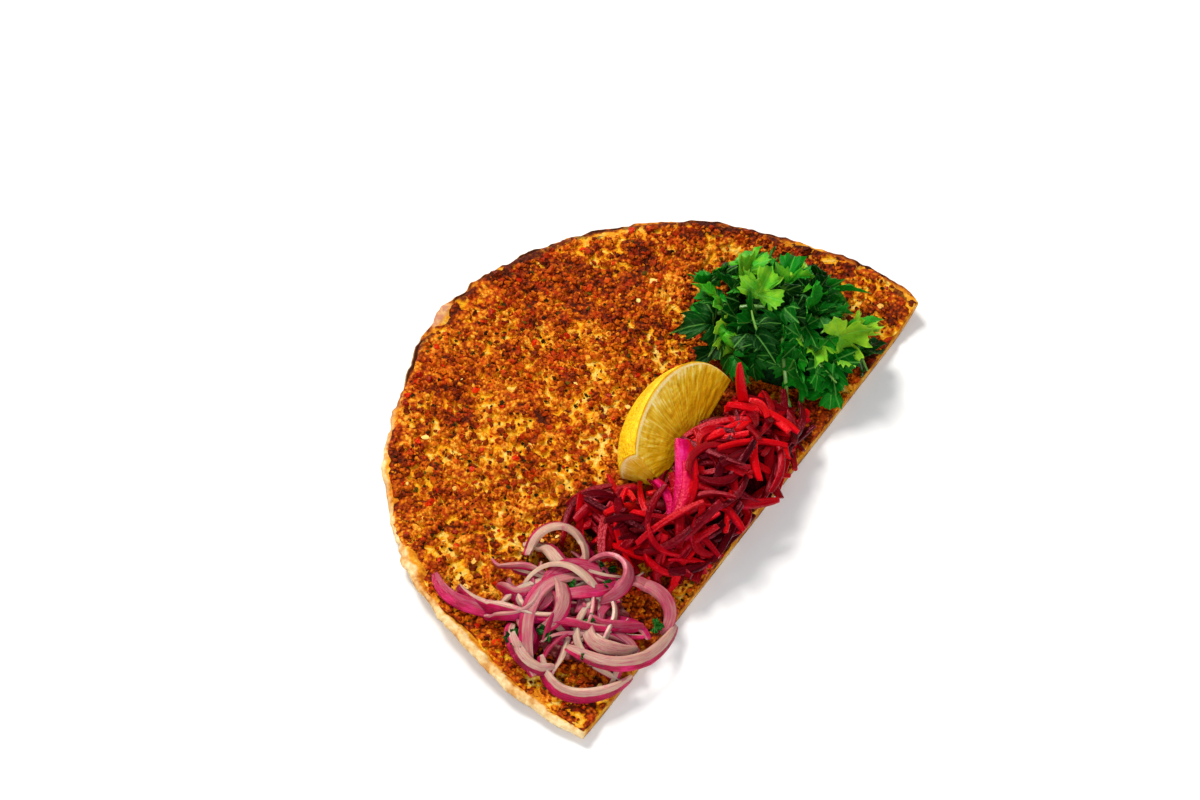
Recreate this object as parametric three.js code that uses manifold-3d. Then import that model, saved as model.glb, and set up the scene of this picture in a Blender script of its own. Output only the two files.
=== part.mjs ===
// Half a lahmacun as it is cut and served: a thin oval flatbread with a baked layer of minced
// meat, cut straight across, and its garnish of parsley, shredded red cabbage, sliced onion and
// a lemon wedge. Millimetres, +Z up. In the slice's own frame the cut lies along Y at x = 0, the
// round rim reaches towards -X, and the flat underside is at z = 0. The exported group moves the
// origin to the middle of the underside of the whole.
import * as THREE from 'three';
import { mergeVertices } from 'three/addons/utils/BufferGeometryUtils.js';
import Module from 'manifold-3d';

const wasm = await Module();
wasm.setup();

// Outline of the half oval.
const DEPTH = 142; // from the cut to the far rim
const HALF_CUT = 111; // half the length of the cut
// Share of the radius that each half wave round the rim adds: one wave, two waves and so on.
const OUTLINE_WAVES = [0.039, 0.026, 0.031, 0, 0.003, 0, 0, 0, 0.005, 0, 0, 0, 0.004];

// Dough.
const DOUGH = 2.6;
const RIM_BEAD = [0.5, 1.6]; // what the rim is thicker by, at its upper and its lower half
const RIM_BEAD_AT = 0.97; // share of the radius
const RIM_BEAD_WIDTH = 0.02;
const EDGE = 1.6; // thickness of the rim's outer edge
const LIFT_FROM = 0.8; // share of the radius where the rim starts to curl up
const LIFT = 3.6; // how far the rim curls up, with its two waves
const LIFT_WAVE_LONG = 1.7;
const LIFT_WAVE_SHORT = 1.1;
const SWELL = 0.3; // soft bumps of the dough's upper face
const DOUGH_CELLS = 11;
const RING_CROWDING = 1.5; // rings lie closer towards the rim

// Meat layer.
const GAP = 0.3; // between neighbours that touch
const MEAT_THIN = 0.3;
const MEAT_THICK = 2.6;
const MEAT_MARGIN = [3.8, 6.8]; // bare dough inside the rim, at its upper and its lower half
const MEAT_MARGIN_WAVE = 0.6;
const CLUMP = 15; // size of a clump of meat
const GRIT = 3.7; // size of a crumb in a clump
const MEAT_CELLS = 19;
const CRUMBS = 22;
const CRUMB_RADIUS = [2.1, 3.1];
const CRUMB_FLATNESS = 0.62; // height to width
const CRUMB_HEIGHT = 2; // of its middle over the dough
const CRUMB_CLEARANCE = 12; // kept free round the garnish

// Garnish: each heap is a low core with its pieces fused on.
const CABBAGE = { at: [-16, -3], radii: [18, 43], height: 17 };
const CABBAGE_SIDE = { at: [-37, -36], radii: [17, 10], height: 9 };
const CABBAGE_STRIPS = 24;
const CABBAGE_SIDE_STRIPS = 6;
const STRIP_LENGTH = [17, 31];
const STRIP_HALF_WIDTH = [1.4, 2.1];
const STRIP_HALF_THICKNESS = 0.95;
// One shred stands up by the lemon's tip, and one broad piece lies on top.
const STANDING_SHRED = {
  at: [-26, 30, 10], heading: 150, pitch: 70, length: 27, halfWidth: 1.9, bend: 0.8, twist: 0.3,
};
const BROAD_SHRED = {
  at: [-24, -14, 0.8], heading: -58, pitch: -8, length: 29, halfWidth: 3.4, bend: 2, twist: 0.5,
};

const PARSLEY = { at: [-34, 69], radii: [33, 25], height: 15 };
const PARSLEY_LEAVES = 23;
const LEAF_REACH = [8.7, 11.6]; // from its base to its tip
const LEAF_LOBES = [-78, 0, 78]; // degrees from its tip
const SIDE_LOBE = 0.82; // reach of a side lobe to the middle one's
const LEAF_THICKNESS = 0.8;
const STEM_ANGLES = [-160, -95, -60, 20, 75]; // degrees, ways out of the bunch
const STEM_LENGTH = [24, 30];
const STEM_HALF_WIDTH = 0.8;

const ONION = { at: [-29, -74], radii: [32, 25], height: 5 };
const RING_HALF_WIDTH = 2.7;
const RING_HALF_THICKNESS = 1.3;
// Each onion slice is an arc of a ring: its centre, radius, first angle and sweep in degrees,
// how far its middle rises over the heap, and how far it leans from lying flat.
const ONION_ARCS = [
  { at: [-17, -80], radius: 24, from: 248, sweep: -138, rise: 3, lean: 10 },
  { at: [-19, -65], radius: 24, from: 262, sweep: 118, rise: 4, lean: 40 },
  { at: [-16, -83], radius: 18, from: 225, sweep: 135, rise: 0.5, lean: 60 },
  { at: [-54, -62], radius: 28, from: 240, sweep: 90, rise: 2, lean: 65 },
  { at: [-62, -54], radius: 38, from: 245, sweep: 65, rise: 0.5, lean: 20 },
  { at: [-46, -60], radius: 11, from: 200, sweep: -190, rise: 7, lean: 45 },
  { at: [-27, -59], radius: 9, from: 300, sweep: 230, rise: 8, lean: 60 },
  { at: [-34, -76], radius: 15, from: 40, sweep: 140, rise: 4, lean: 50 },
  { at: [-11, -63], radius: 12, from: 0, sweep: 170, rise: 5, lean: 20 },
  { at: [-44, -80], radius: 13, from: 320, sweep: 130, rise: 4, lean: 30 },
  { at: [-31, -88], radius: 12, from: 190, sweep: 130, rise: 2.5, lean: 30 },
  { at: [-52, -74], radius: 16, from: 20, sweep: 100, rise: 2, lean: 15 },
  { at: [-12, -72], radius: 10, from: 200, sweep: 150, rise: 3, lean: 45 },
];

const OVERHANG = 40; // more than any piece reaches past the cut

// Zones along the cut that keep the heaps apart.
const PARSLEY_FROM = 41;
const CABBAGE_TO = 40.6;
const CABBAGE_FROM = -46;
const ONION_TO = -46.4;

const LEMON_LENGTH = 62;
const LEMON_RADIUS = 26;
const LEMON_ANGLE = 62; // degrees between its two cut faces
const LEMON_TRIM = 9; // cut off its blunt end
const LEMON_AT = [-32, 7];
const LEMON_TURN = 8; // degrees, of its core edge from the direction of the cut
const LEMON_ROLL = 15; // degrees, as its core edge leans on the cabbage
const LEMON_PRINT = { at: [-44, 7], radii: [8, 28] }; // what it covers

const MERGE = 0.01; // corners closer than this are one
const GOLDEN_ANGLE = Math.PI * (3 - Math.sqrt(5)); // spreads points evenly round a heap

const deg = THREE.MathUtils.degToRad;
const UPRIGHT = new THREE.Vector3(0, 0, 1);
const clamp01 = (value) => THREE.MathUtils.clamp(value, 0, 1);

// --- Chance that is the same on every run -------------------------------------------------

function dice(seed) {
  let state = seed;
  return (low, high) => {
    state = (state * 48271) % 2147483647;
    return low + ((high - low) * state) / 2147483647;
  };
}

function lattice(i, j) {
  const wave = Math.sin(i * 127.1 + j * 311.7) * 43758.5453;
  return wave - Math.floor(wave);
}

// Smooth noise from 0 to 1 with features of size 1.
function noise(x, y) {
  const i = Math.floor(x);
  const j = Math.floor(y);
  const u = THREE.MathUtils.smoothstep(x - i, 0, 1);
  const v = THREE.MathUtils.smoothstep(y - j, 0, 1);
  const low = THREE.MathUtils.lerp(lattice(i, j), lattice(i + 1, j), u);
  const high = THREE.MathUtils.lerp(lattice(i, j + 1), lattice(i + 1, j + 1), u);
  return THREE.MathUtils.lerp(low, high, v);
}

// --- Solids ---------------------------------------------------------------------------------

function solidOf(geometry) {
  geometry.deleteAttribute('normal');
  geometry.deleteAttribute('uv');
  const merged = mergeVertices(geometry, MERGE);
  return new wasm.Manifold(new wasm.Mesh({
    numProp: 3,
    vertProperties: merged.attributes.position.array,
    triVerts: new Uint32Array(merged.index.array),
  }));
}

function skinOf(solid) {
  const { vertProperties, triVerts } = solid.getMesh();
  const geometry = new THREE.BufferGeometry();
  geometry.setAttribute('position', new THREE.BufferAttribute(vertProperties, 3));
  geometry.setIndex(new THREE.BufferAttribute(triVerts, 1));
  return geometry;
}

// The largest closed body of a solid: corners that nearly meet are merged, and then loose
// scraps are dropped and sealed hollows filled, until nothing more comes apart.
function geometryOf(solid) {
  let bodies = [solid];
  do {
    bodies = solidOf(skinOf(bodies[0]).toNonIndexed()).decompose();
    bodies.sort((a, b) => b.volume() - a.volume());
  } while (bodies.length > 1);
  const geometry = skinOf(bodies[0]);
  geometry.computeVertexNormals();
  return geometry;
}

function warp(geometry, place) {
  const position = geometry.attributes.position;
  const point = new THREE.Vector3();
  for (let i = 0; i < position.count; i += 1) {
    point.fromBufferAttribute(position, i);
    const moved = place(point);
    position.setXYZ(i, moved.x, moved.y, moved.z);
  }
  return geometry;
}

function joined(solids) {
  return solids.reduce((whole, solid) => whole.add(solid));
}

// --- The slice's outline and heights --------------------------------------------------------

function outline(turn) {
  return OUTLINE_WAVES.reduce((sum, share, i) => sum + share * Math.sin((i + 1) * Math.PI * turn), 1);
}

// Where a point lies on the slice: its share of the radius, and how far round the rim it is,
// from 0 at the upper end of the cut to 1 at the lower end.
function polar(x, y) {
  const across = Math.min(x, 0) / DEPTH;
  const along = y / HALF_CUT;
  const turn = (Math.atan2(-across, along)) / Math.PI;
  return { share: Math.hypot(across, along) / outline(turn), turn };
}

function lift(share, turn) {
  const rise = clamp01((share - LIFT_FROM) / (1 - LIFT_FROM));
  const height = LIFT + LIFT_WAVE_LONG * Math.sin(5 * Math.PI * turn + 0.6)
    + LIFT_WAVE_SHORT * Math.sin(9 * Math.PI * turn + 2.1);
  return height * rise * rise;
}

// How far a stretch of the rim belongs to its lower half, where it is bare and thick.
function lowerHalf(turn) {
  return THREE.MathUtils.smoothstep(turn, 0.5, 0.68);
}

function thickness(share, turn) {
  const height = THREE.MathUtils.lerp(...RIM_BEAD, lowerHalf(turn));
  const bead = height * Math.exp(-(((share - RIM_BEAD_AT) / RIM_BEAD_WIDTH) ** 2));
  const edge = clamp01((share - RIM_BEAD_AT) / (1 - RIM_BEAD_AT));
  return THREE.MathUtils.lerp(DOUGH + bead, EDGE, edge ** 3);
}

function swell(x, y) {
  return SWELL * (Math.sin(x / 13 + 1) * Math.cos(y / 17) + 0.7 * Math.sin((x + y) / 19));
}

function ringShare(ring) {
  return 1 - (1 - ring / DOUGH_CELLS) ** RING_CROWDING;
}

// The dough's upper face, straight from ring to ring as its facets are.
function doughTop(x, y) {
  const { share, turn } = polar(x, y);
  const height = (at) => lift(at, turn) + thickness(at, turn);
  const ring = (1 - (1 - clamp01(share)) ** (1 / RING_CROWDING)) * DOUGH_CELLS;
  const inner = Math.min(Math.floor(ring + 1e-6), DOUGH_CELLS - 1);
  const [low, high] = [ringShare(inner), ringShare(inner + 1)];
  const calm = 1 - clamp01((share - LIFT_FROM) / (1 - LIFT_FROM));
  const crown = THREE.MathUtils.lerp(height(low), height(high), (share - low) / (high - low));
  return crown + swell(x, y) * calm;
}

// Clumps of meat: 1 where it lies thick, 0 where the oily dough nearly shows.
function clumps(x, y) {
  const coarse = noise(x / CLUMP + 7.3, y / CLUMP + 2.9);
  const fine = noise(x / (CLUMP / 3) + 31, y / (CLUMP / 3) + 17);
  return clamp01(0.62 * coarse + 0.58 * fine - 0.08);
}

// The height that the garnish rests on.
function seat(x, y) {
  return doughTop(x, y) + MEAT_THICK + 2 * GAP;
}

// A flat box whose grid becomes the half oval: square rings turn into rings along the rim.
function halfOval(cells, crowding, place) {
  const grid = new THREE.BoxGeometry(1, 2, 2, cells, 2 * cells, 1).translate(-0.5, 0, 0);
  return warp(grid, (point) => {
    const ring = Math.max(Math.abs(point.x), Math.abs(point.y));
    let turn = 0.5;
    if (ring > 0) {
      const side = Math.abs(point.x) >= Math.abs(point.y);
      turn = side ? 0.5 - 0.25 * (point.y / ring) : 0.25 * (-point.x / ring);
      if (!side && point.y < 0) {
        turn = 1 - turn;
      }
    }
    const share = 1 - (1 - ring) ** crowding;
    return place(share, turn, point.z > 0);
  });
}

function onOval(share, turn, z) {
  const radius = share * outline(turn);
  return new THREE.Vector3(
    -DEPTH * radius * Math.sin(Math.PI * turn),
    HALF_CUT * radius * Math.cos(Math.PI * turn),
    z,
  );
}

// --- Flatbread and meat ---------------------------------------------------------------------

function flatbread() {
  const dough = halfOval(DOUGH_CELLS, RING_CROWDING, (share, turn, upper) => {
    const point = onOval(share, turn, 0);
    point.z = upper ? doughTop(point.x, point.y) : lift(share, turn);
    return point;
  });
  return geometryOf(solidOf(dough));
}

function meatReach(turn) {
  const wave = MEAT_MARGIN_WAVE * (Math.sin(23 * Math.PI * turn + 0.4) + Math.sin(37 * Math.PI * turn));
  return 1 - (THREE.MathUtils.lerp(...MEAT_MARGIN, lowerHalf(turn)) + wave) / HALF_CUT;
}

function meatLayer() {
  return halfOval(MEAT_CELLS, 1, (ring, turn, upper) => {
    const point = onOval(ring * meatReach(turn), turn, 0);
    point.z = doughTop(point.x, point.y) + GAP;
    if (upper) {
      const grit = noise(point.x / GRIT + 53, point.y / GRIT + 11);
      const lumps = 0.7 * clumps(point.x, point.y) + 0.3 * grit;
      const fade = clamp01((1 - ring) * 12 + 0.25);
      point.z += THREE.MathUtils.lerp(MEAT_THIN, MEAT_THICK, lumps * fade);
    }
    return point;
  });
}

function garnished(x, y) {
  const heaps = [CABBAGE, CABBAGE_SIDE, PARSLEY, ONION, LEMON_PRINT];
  return heaps.some(({ at, radii }) => {
    const across = (x - at[0]) / (radii[0] + CRUMB_CLEARANCE);
    const along = (y - at[1]) / (radii[1] + CRUMB_CLEARANCE);
    return Math.hypot(across, along) < 1;
  });
}

function crumbs() {
  const roll = dice(97);
  const lumps = [];
  while (lumps.length < CRUMBS) {
    const turn = roll(0.04, 0.96);
    const share = Math.sqrt(roll(0.03, 0.8));
    const radius = roll(...CRUMB_RADIUS);
    const spin = roll(0, Math.PI);
    const at = onOval(share, turn, 0);
    if (!garnished(at.x, at.y)) {
      const lump = new THREE.IcosahedronGeometry(radius, 0);
      lump.rotateZ(spin).rotateX(spin * 2).scale(1, 1, CRUMB_FLATNESS);
      lump.translate(at.x, at.y, doughTop(at.x, at.y) + CRUMB_HEIGHT);
      lumps.push(solidOf(lump));
    }
  }
  return lumps;
}

function meatTopping() {
  return geometryOf(joined([solidOf(meatLayer()), ...crumbs()]));
}

// --- Garnish --------------------------------------------------------------------------------

// All that lies under the garnish, also past the cut: each heap and the lemon are cut back to it.
function underGarnish() {
  const under = halfOval(DOUGH_CELLS, RING_CROWDING, (share, turn, upper) => {
    const point = onOval(share, turn, 0);
    point.z = upper ? seat(point.x, point.y) : -LEMON_RADIUS;
    if (point.x > -1e-6) {
      point.x = OVERHANG;
    }
    return point;
  });
  return solidOf(under);
}

function zone(from, to) {
  const reach = 2 * DEPTH;
  const slab = new THREE.BoxGeometry(2 * reach, to - from, 2 * reach);
  return solidOf(slab.translate(0, (from + to) / 2, 0));
}

function core({ at, radii, height }) {
  const dome = new THREE.SphereGeometry(1, 12, 7).rotateX(Math.PI / 2);
  const base = seat(at[0], at[1]) - 0.5;
  return solidOf(warp(dome, (point) => {
    const bump = 1 + 0.07 * Math.sin(5 * point.x + at[1]) * Math.cos(4 * point.y + at[0]);
    return new THREE.Vector3(
      at[0] + radii[0] * bump * point.x,
      at[1] + radii[1] * bump * point.y,
      base + height * bump * point.z,
    );
  }));
}

function heapTop({ at, radii, height }, x, y) {
  const share = Math.hypot((x - at[0]) / radii[0], (y - at[1]) / radii[1]);
  return seat(x, y) + height * Math.sqrt(Math.max(0, 1 - share * share));
}

// A bar of four sides along a curve, narrowed towards both ends. Its width lies along side(t).
function bar(steps, { line, side, halfWidth, halfThickness, ends }) {
  const stick = new THREE.BoxGeometry(2, 1, 2, 1, steps, 1);
  return solidOf(warp(stick, (point) => {
    const t = point.y + 0.5;
    const ahead = line(Math.min(t + 0.01, 1)).sub(line(Math.max(t - 0.01, 0)));
    const across = side(t);
    const up = new THREE.Vector3().crossVectors(across, ahead).normalize();
    const narrow = THREE.MathUtils.lerp(ends, 1, Math.sin(Math.PI * t) ** 0.6);
    return line(t)
      .addScaledVector(across, point.x * halfWidth * narrow)
      .addScaledVector(up, point.z * halfThickness * narrow);
  }));
}

// A shred: a bent, slightly twisted strip, with its middle, its direction and its bend given.
function shred({ middle, heading, pitch, length, halfWidth, bend, twist }) {
  const along = new THREE.Vector3(
    Math.cos(heading) * Math.cos(pitch),
    Math.sin(heading) * Math.cos(pitch),
    Math.sin(pitch),
  );
  const across = new THREE.Vector3(-Math.sin(heading), Math.cos(heading), 0);
  return bar(3, {
    line: (t) => middle.clone()
      .addScaledVector(along, (t - 0.5) * length)
      .addScaledVector(across, bend * (1 - (2 * t - 1) ** 2)),
    side: (t) => across.clone().applyAxisAngle(along, twist * (t - 0.5)),
    halfWidth,
    halfThickness: STRIP_HALF_THICKNESS,
    ends: 0.35,
  });
}

// Points spread evenly over a heap, with the way outwards there.
function overHeap(heap, count, roll) {
  return Array.from({ length: count }, (_, i) => {
    const outward = i * GOLDEN_ANGLE + roll(-0.3, 0.3);
    const share = 0.97 * Math.sqrt((i + 0.5) / count);
    const x = heap.at[0] + heap.radii[0] * share * Math.cos(outward);
    const y = heap.at[1] + heap.radii[1] * share * Math.sin(outward);
    return { middle: new THREE.Vector3(x, y, heapTop(heap, x, y)), outward, share };
  });
}

function shreds(heap, count, seed) {
  const roll = dice(seed);
  return overHeap(heap, count, roll).map(({ middle, outward, share }) => {
    const heading = roll(0, Math.PI);
    const fall = -0.75 * share * Math.cos(heading - outward);
    middle.z += roll(-0.6, 1.2);
    return shred({
      middle,
      heading,
      pitch: fall + roll(-0.25, 0.25),
      length: roll(...STRIP_LENGTH),
      halfWidth: roll(...STRIP_HALF_WIDTH),
      bend: roll(-4, 4),
      twist: roll(-1.2, 1.2),
    });
  });
}

function placedShred({ at, heading, pitch, ...shape }) {
  const middle = new THREE.Vector3(at[0], at[1], heapTop(CABBAGE, at[0], at[1]) + at[2]);
  return shred({ middle, heading: deg(heading), pitch: deg(pitch), ...shape });
}

function cabbageShreds(under, lemon) {
  const heap = joined([
    core(CABBAGE),
    core(CABBAGE_SIDE),
    ...shreds(CABBAGE, CABBAGE_STRIPS, 7),
    ...shreds(CABBAGE_SIDE, CABBAGE_SIDE_STRIPS, 19),
    placedShred(STANDING_SHRED),
    placedShred(BROAD_SHRED),
  ]);
  return geometryOf(heap.subtract(under).subtract(lemon).intersect(zone(CABBAGE_FROM, CABBAGE_TO)));
}

function onionArc({ at, radius, from, sweep, rise, lean }) {
  const outward = (t) => new THREE.Vector3(1, 0, 0).applyAxisAngle(UPRIGHT, deg(from + sweep * t));
  const line = (t) => {
    const point = outward(t).multiplyScalar(radius).add(new THREE.Vector3(at[0], at[1], 0));
    point.z = heapTop(ONION, point.x, point.y) + RING_HALF_THICKNESS / 2 + rise * Math.sin(Math.PI * t);
    return point;
  };
  const side = (t) => {
    const flat = outward(t).multiplyScalar(Math.cos(deg(lean)));
    return flat.addScaledVector(UPRIGHT, -Math.sin(deg(lean)));
  };
  return bar(8, {
    line,
    side,
    halfWidth: RING_HALF_WIDTH,
    halfThickness: RING_HALF_THICKNESS,
    ends: 0.45,
  });
}

function onionSlices(under) {
  const heap = joined([core(ONION), ...ONION_ARCS.map(onionArc)]);
  return geometryOf(heap.subtract(under).intersect(zone(-2 * HALF_CUT, ONION_TO)));
}

// A parsley leaf: toothed lobes spread from its base at the origin, the middle one towards +X.
function leaf(reach, cup) {
  const rim = [new THREE.Vector2(-0.15, 0)];
  const ray = (angle, share) => {
    rim.push(new THREE.Vector2(Math.cos(deg(angle)), Math.sin(deg(angle))).multiplyScalar(share));
  };
  LEAF_LOBES.forEach((angle, i) => {
    const lobe = angle === 0 ? 1 : SIDE_LOBE;
    if (i > 0) {
      ray((LEAF_LOBES[i - 1] + angle) / 2, 0.45);
    }
    ray(angle - 24, 0.88 * lobe);
    ray(angle, lobe);
    ray(angle + 24, 0.88 * lobe);
  });
  const flat = new THREE.ExtrudeGeometry(new THREE.Shape(rim), { depth: 1, bevelEnabled: false });
  return warp(flat, (point) => {
    const wave = cup * (point.x ** 2 + point.y ** 2 - 0.25) + 0.1 * Math.sin(4 * point.y);
    return new THREE.Vector3(reach * point.x, reach * point.y, reach * wave + LEAF_THICKNESS * point.z);
  });
}

function parsleyLeaves() {
  const roll = dice(23);
  return overHeap(PARSLEY, PARSLEY_LEAVES, roll).map(({ middle, outward, share }) => {
    const reach = roll(...LEAF_REACH);
    const heading = outward + roll(-1.1, 1.1);
    const droop = 0.1 + 0.6 * share + roll(-0.4, 0.15);
    const tilt = roll(-0.5, 0.5);
    const shape = leaf(reach, roll(-0.35, 0.25)).rotateX(tilt).rotateY(droop).rotateZ(heading);
    return solidOf(shape.translate(middle.x, middle.y, middle.z + roll(-0.3, 2.5)));
  });
}

function parsleyStems() {
  const roll = dice(61);
  return STEM_ANGLES.map((angle) => {
    const outward = new THREE.Vector3(1, 0, 0).applyAxisAngle(UPRIGHT, deg(angle));
    const across = new THREE.Vector3().crossVectors(UPRIGHT, outward);
    const length = roll(...STEM_LENGTH);
    const line = (t) => {
      const point = new THREE.Vector3(PARSLEY.at[0], PARSLEY.at[1], 0);
      point.addScaledVector(outward, 6 + length * t).addScaledVector(across, 5 * t * t);
      point.z = heapTop(PARSLEY, point.x, point.y) + STEM_HALF_WIDTH / 2;
      return point;
    };
    return bar(4, {
      line,
      side: () => across,
      halfWidth: STEM_HALF_WIDTH,
      halfThickness: STEM_HALF_WIDTH,
      ends: 0.7,
    });
  });
}

function parsley(under) {
  const bunch = joined([core(PARSLEY), ...parsleyLeaves(), ...parsleyStems()]);
  return geometryOf(bunch.subtract(under).intersect(zone(PARSLEY_FROM, 2 * HALF_CUT)));
}

// A lemon on its long axis, from which the wedge is cut by two faces that meet in its core.
function lemonWedge(grow) {
  const steps = 12;
  const half = LEMON_LENGTH / 2;
  const profile = Array.from({ length: steps + 1 }, (_, i) => {
    const t = i / steps;
    const y = -half * Math.cos(Math.PI * t);
    const radius = LEMON_RADIUS * Math.sin(Math.PI * t) ** 0.85;
    return new THREE.Vector2(i % steps === 0 ? 0 : radius + grow, y * (1 + grow / half));
  });
  const whole = solidOf(new THREE.LatheGeometry(profile, 28));
  const big = 4 * LEMON_RADIUS;
  const keep = new THREE.BoxGeometry(big, LEMON_LENGTH - LEMON_TRIM + 2 * grow, big);
  keep.translate(-big / 2 + grow, LEMON_TRIM / 2, big / 2 - grow);
  const away = new THREE.BoxGeometry(2 * big, 2 * big, big).translate(0, 0, big / 2 + grow);
  away.rotateY(deg(LEMON_ANGLE));
  const wedge = whole.intersect(solidOf(keep)).subtract(solidOf(away));
  const place = new THREE.Matrix4().makeRotationZ(deg(LEMON_TURN));
  place.multiply(new THREE.Matrix4().makeRotationY(deg(-LEMON_ROLL)));
  const drop = LEMON_RADIUS * Math.sin(deg(LEMON_ROLL));
  const geometry = geometryOf(wedge).applyMatrix4(place);
  geometry.translate(LEMON_AT[0], LEMON_AT[1], seat(...LEMON_AT) + drop);
  return solidOf(geometry);
}

// --- The part -------------------------------------------------------------------------------

function sheen(color, roughness) {
  return new THREE.MeshStandardMaterial({ color, roughness, metalness: 0 });
}

function mesh(name, geometry, material) {
  const piece = new THREE.Mesh(geometry, material);
  piece.name = name;
  return piece;
}

const under = underGarnish();
const lemon = lemonWedge(0).subtract(under);

const slice = new THREE.Group();
slice.add(
  mesh('flatbread', flatbread(), sheen(0xdcb878, 0.85)),
  mesh('meat_topping', meatTopping(), sheen(0xa8501c, 0.6)),
  mesh('lemon_wedge', geometryOf(lemon), sheen(0xe8c332, 0.4)),
  mesh('cabbage_shreds', cabbageShreds(under, lemonWedge(GAP)), sheen(0xa3081c, 0.3)),
  mesh('onion_slices', onionSlices(under), sheen(0xd9a8ac, 0.35)),
  mesh('parsley', parsley(under), sheen(0x1f7a2b, 0.5)),
);

const box = new THREE.Box3().setFromObject(slice);
const middle = box.getCenter(new THREE.Vector3());
slice.position.set(-middle.x, -middle.y, -box.min.z);

export default new THREE.Group().add(slice);
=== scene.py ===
"""The looks of half a lahmacun: baked dough, a crumbly layer of minced meat, and its garnish of
parsley, shredded red cabbage, sliced onion and a lemon wedge. Shapes are worked out in
millimetres in the slice's own frame, in which the cut lies along Y at x = 0, the round rim
reaches towards -X and the underside is at z = 0. They are moved to the part's frame at the end."""
import math

import bpy
import numpy as np
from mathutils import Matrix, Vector


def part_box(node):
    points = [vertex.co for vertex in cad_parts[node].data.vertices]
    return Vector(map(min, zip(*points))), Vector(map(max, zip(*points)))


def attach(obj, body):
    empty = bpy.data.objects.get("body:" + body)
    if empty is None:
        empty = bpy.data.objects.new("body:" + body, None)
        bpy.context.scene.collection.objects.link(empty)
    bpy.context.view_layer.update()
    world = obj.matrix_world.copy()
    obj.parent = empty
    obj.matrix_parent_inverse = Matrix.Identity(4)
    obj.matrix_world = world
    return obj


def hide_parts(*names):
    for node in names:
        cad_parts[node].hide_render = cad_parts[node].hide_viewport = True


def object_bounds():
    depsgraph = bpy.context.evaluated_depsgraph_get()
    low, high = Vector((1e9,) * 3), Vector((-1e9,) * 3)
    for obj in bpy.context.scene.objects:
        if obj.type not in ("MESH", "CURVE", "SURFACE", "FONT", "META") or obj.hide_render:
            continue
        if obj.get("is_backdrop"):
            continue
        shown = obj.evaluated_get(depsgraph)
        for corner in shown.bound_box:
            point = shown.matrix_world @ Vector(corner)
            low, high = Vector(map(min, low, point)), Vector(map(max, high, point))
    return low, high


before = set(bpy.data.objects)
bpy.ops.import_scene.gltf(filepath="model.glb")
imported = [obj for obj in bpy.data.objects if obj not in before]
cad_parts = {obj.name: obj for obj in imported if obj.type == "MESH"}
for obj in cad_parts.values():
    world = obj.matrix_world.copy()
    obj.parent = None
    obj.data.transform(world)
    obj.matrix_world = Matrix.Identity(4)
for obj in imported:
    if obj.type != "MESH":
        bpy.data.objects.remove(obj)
cad_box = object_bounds()

MM = 0.001
BODY = "root"

# --- Sizes in millimetres, most of them those of the solids ---

DEPTH = 142
HALF_CUT = 111
OUTLINE_WAVES = (0.039, 0.026, 0.031, 0, 0.003, 0, 0, 0, 0.005, 0, 0, 0, 0.004)

DOUGH = 2.6
RIM_BEAD = (0.5, 0.9)  # over the rim's upper and lower half
RIM_BEAD_AT = 0.978
RIM_BEAD_WIDTH = 0.02
EDGE = 1.6
EDGE_FROM = 0.97
LIFT_FROM = 0.8
LIFT = 3.6
LIFT_WAVE_LONG = 1.7
LIFT_WAVE_SHORT = 1.1
SWELL = 0.3
SOLID_RINGS = 11  # of the dough's facets, whose corners set the box that the slice is placed by
RING_CROWDING = 1.5

GAP = 0.3
MEAT_THIN = 0.3
MEAT_THICK = 2.6
CLUMP = 15

# Of each heap, core is the share of its size that its core has, and shade how far under its
# surface the painted shade grows to full dark.
CABBAGE = {"at": (-16, -3), "radii": (18, 43), "height": 17, "core": 0.86, "shade": 3}
CABBAGE_SIDE = {"at": (-37, -36), "radii": (17, 10), "height": 9, "core": 0.8, "shade": 2.6}
CABBAGE_STRIPS = 24
CABBAGE_SIDE_STRIPS = 6
STRIP_LENGTH = (17, 31)
STRIP_HALF_WIDTH = (1.4, 2.1)
STRIP_HALF_THICKNESS = 0.95
STANDING_SHRED = {
    "at": (-26, 30, 10), "heading": 150, "pitch": 70, "length": 27, "half_width": 1.9,
    "bend": 0.8, "twist": 0.3, "ends": 0.35,
}
# Wider than the solid's and higher, so that it stays in sight. No loose shred lies over it, as far
# as BROAD_CLEARANCE from its middle.
BROAD_SHRED = {
    "at": (-24, -14, 3.6), "heading": -58, "pitch": -8, "length": 29, "half_width": 4.2,
    "bend": 2, "twist": 0.5, "ends": 0.62,
}
BROAD_CLEARANCE = 10

# Shreds that lie against the broad one, and how much lower: along, aside, turn, length, half width,
# and how pink.
BESIDE_BROAD = ((5, -2.6, 12, 17, 2.3, 1), (-4, 2.8, -8, 21, 2.4, 0.35), (-9, -1.5, 24, 14, 2, 0.8))
BESIDE_BROAD_SINK = 1

PARSLEY = {"at": (-34, 69), "radii": (33, 25), "height": 15, "core": 0.82, "shade": 6}
PARSLEY_LEAVES = 23
LEAF_REACH = (8.7, 11.6)
SIDE_LOBE = 0.82
SIDE_LOBE_ANGLE = 78
STEM_ANGLES = (-160, -95, -60, 20, 75)
STEM_LENGTH = (24, 30)
STEM_HALF_WIDTH = 0.8
STEM_FROM = 6  # the heap's middle
STEM_BEND = 5

ONION = {"at": (-29, -74), "radii": (32, 25), "height": 5, "core": 0.68}
RING_HALF_WIDTH = 2.7
RING_HALF_THICKNESS = 0.9
RING_OVER_HEAP = 0.65
RING_WOBBLE = 0.04
RING_TWIST = 0.7

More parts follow.
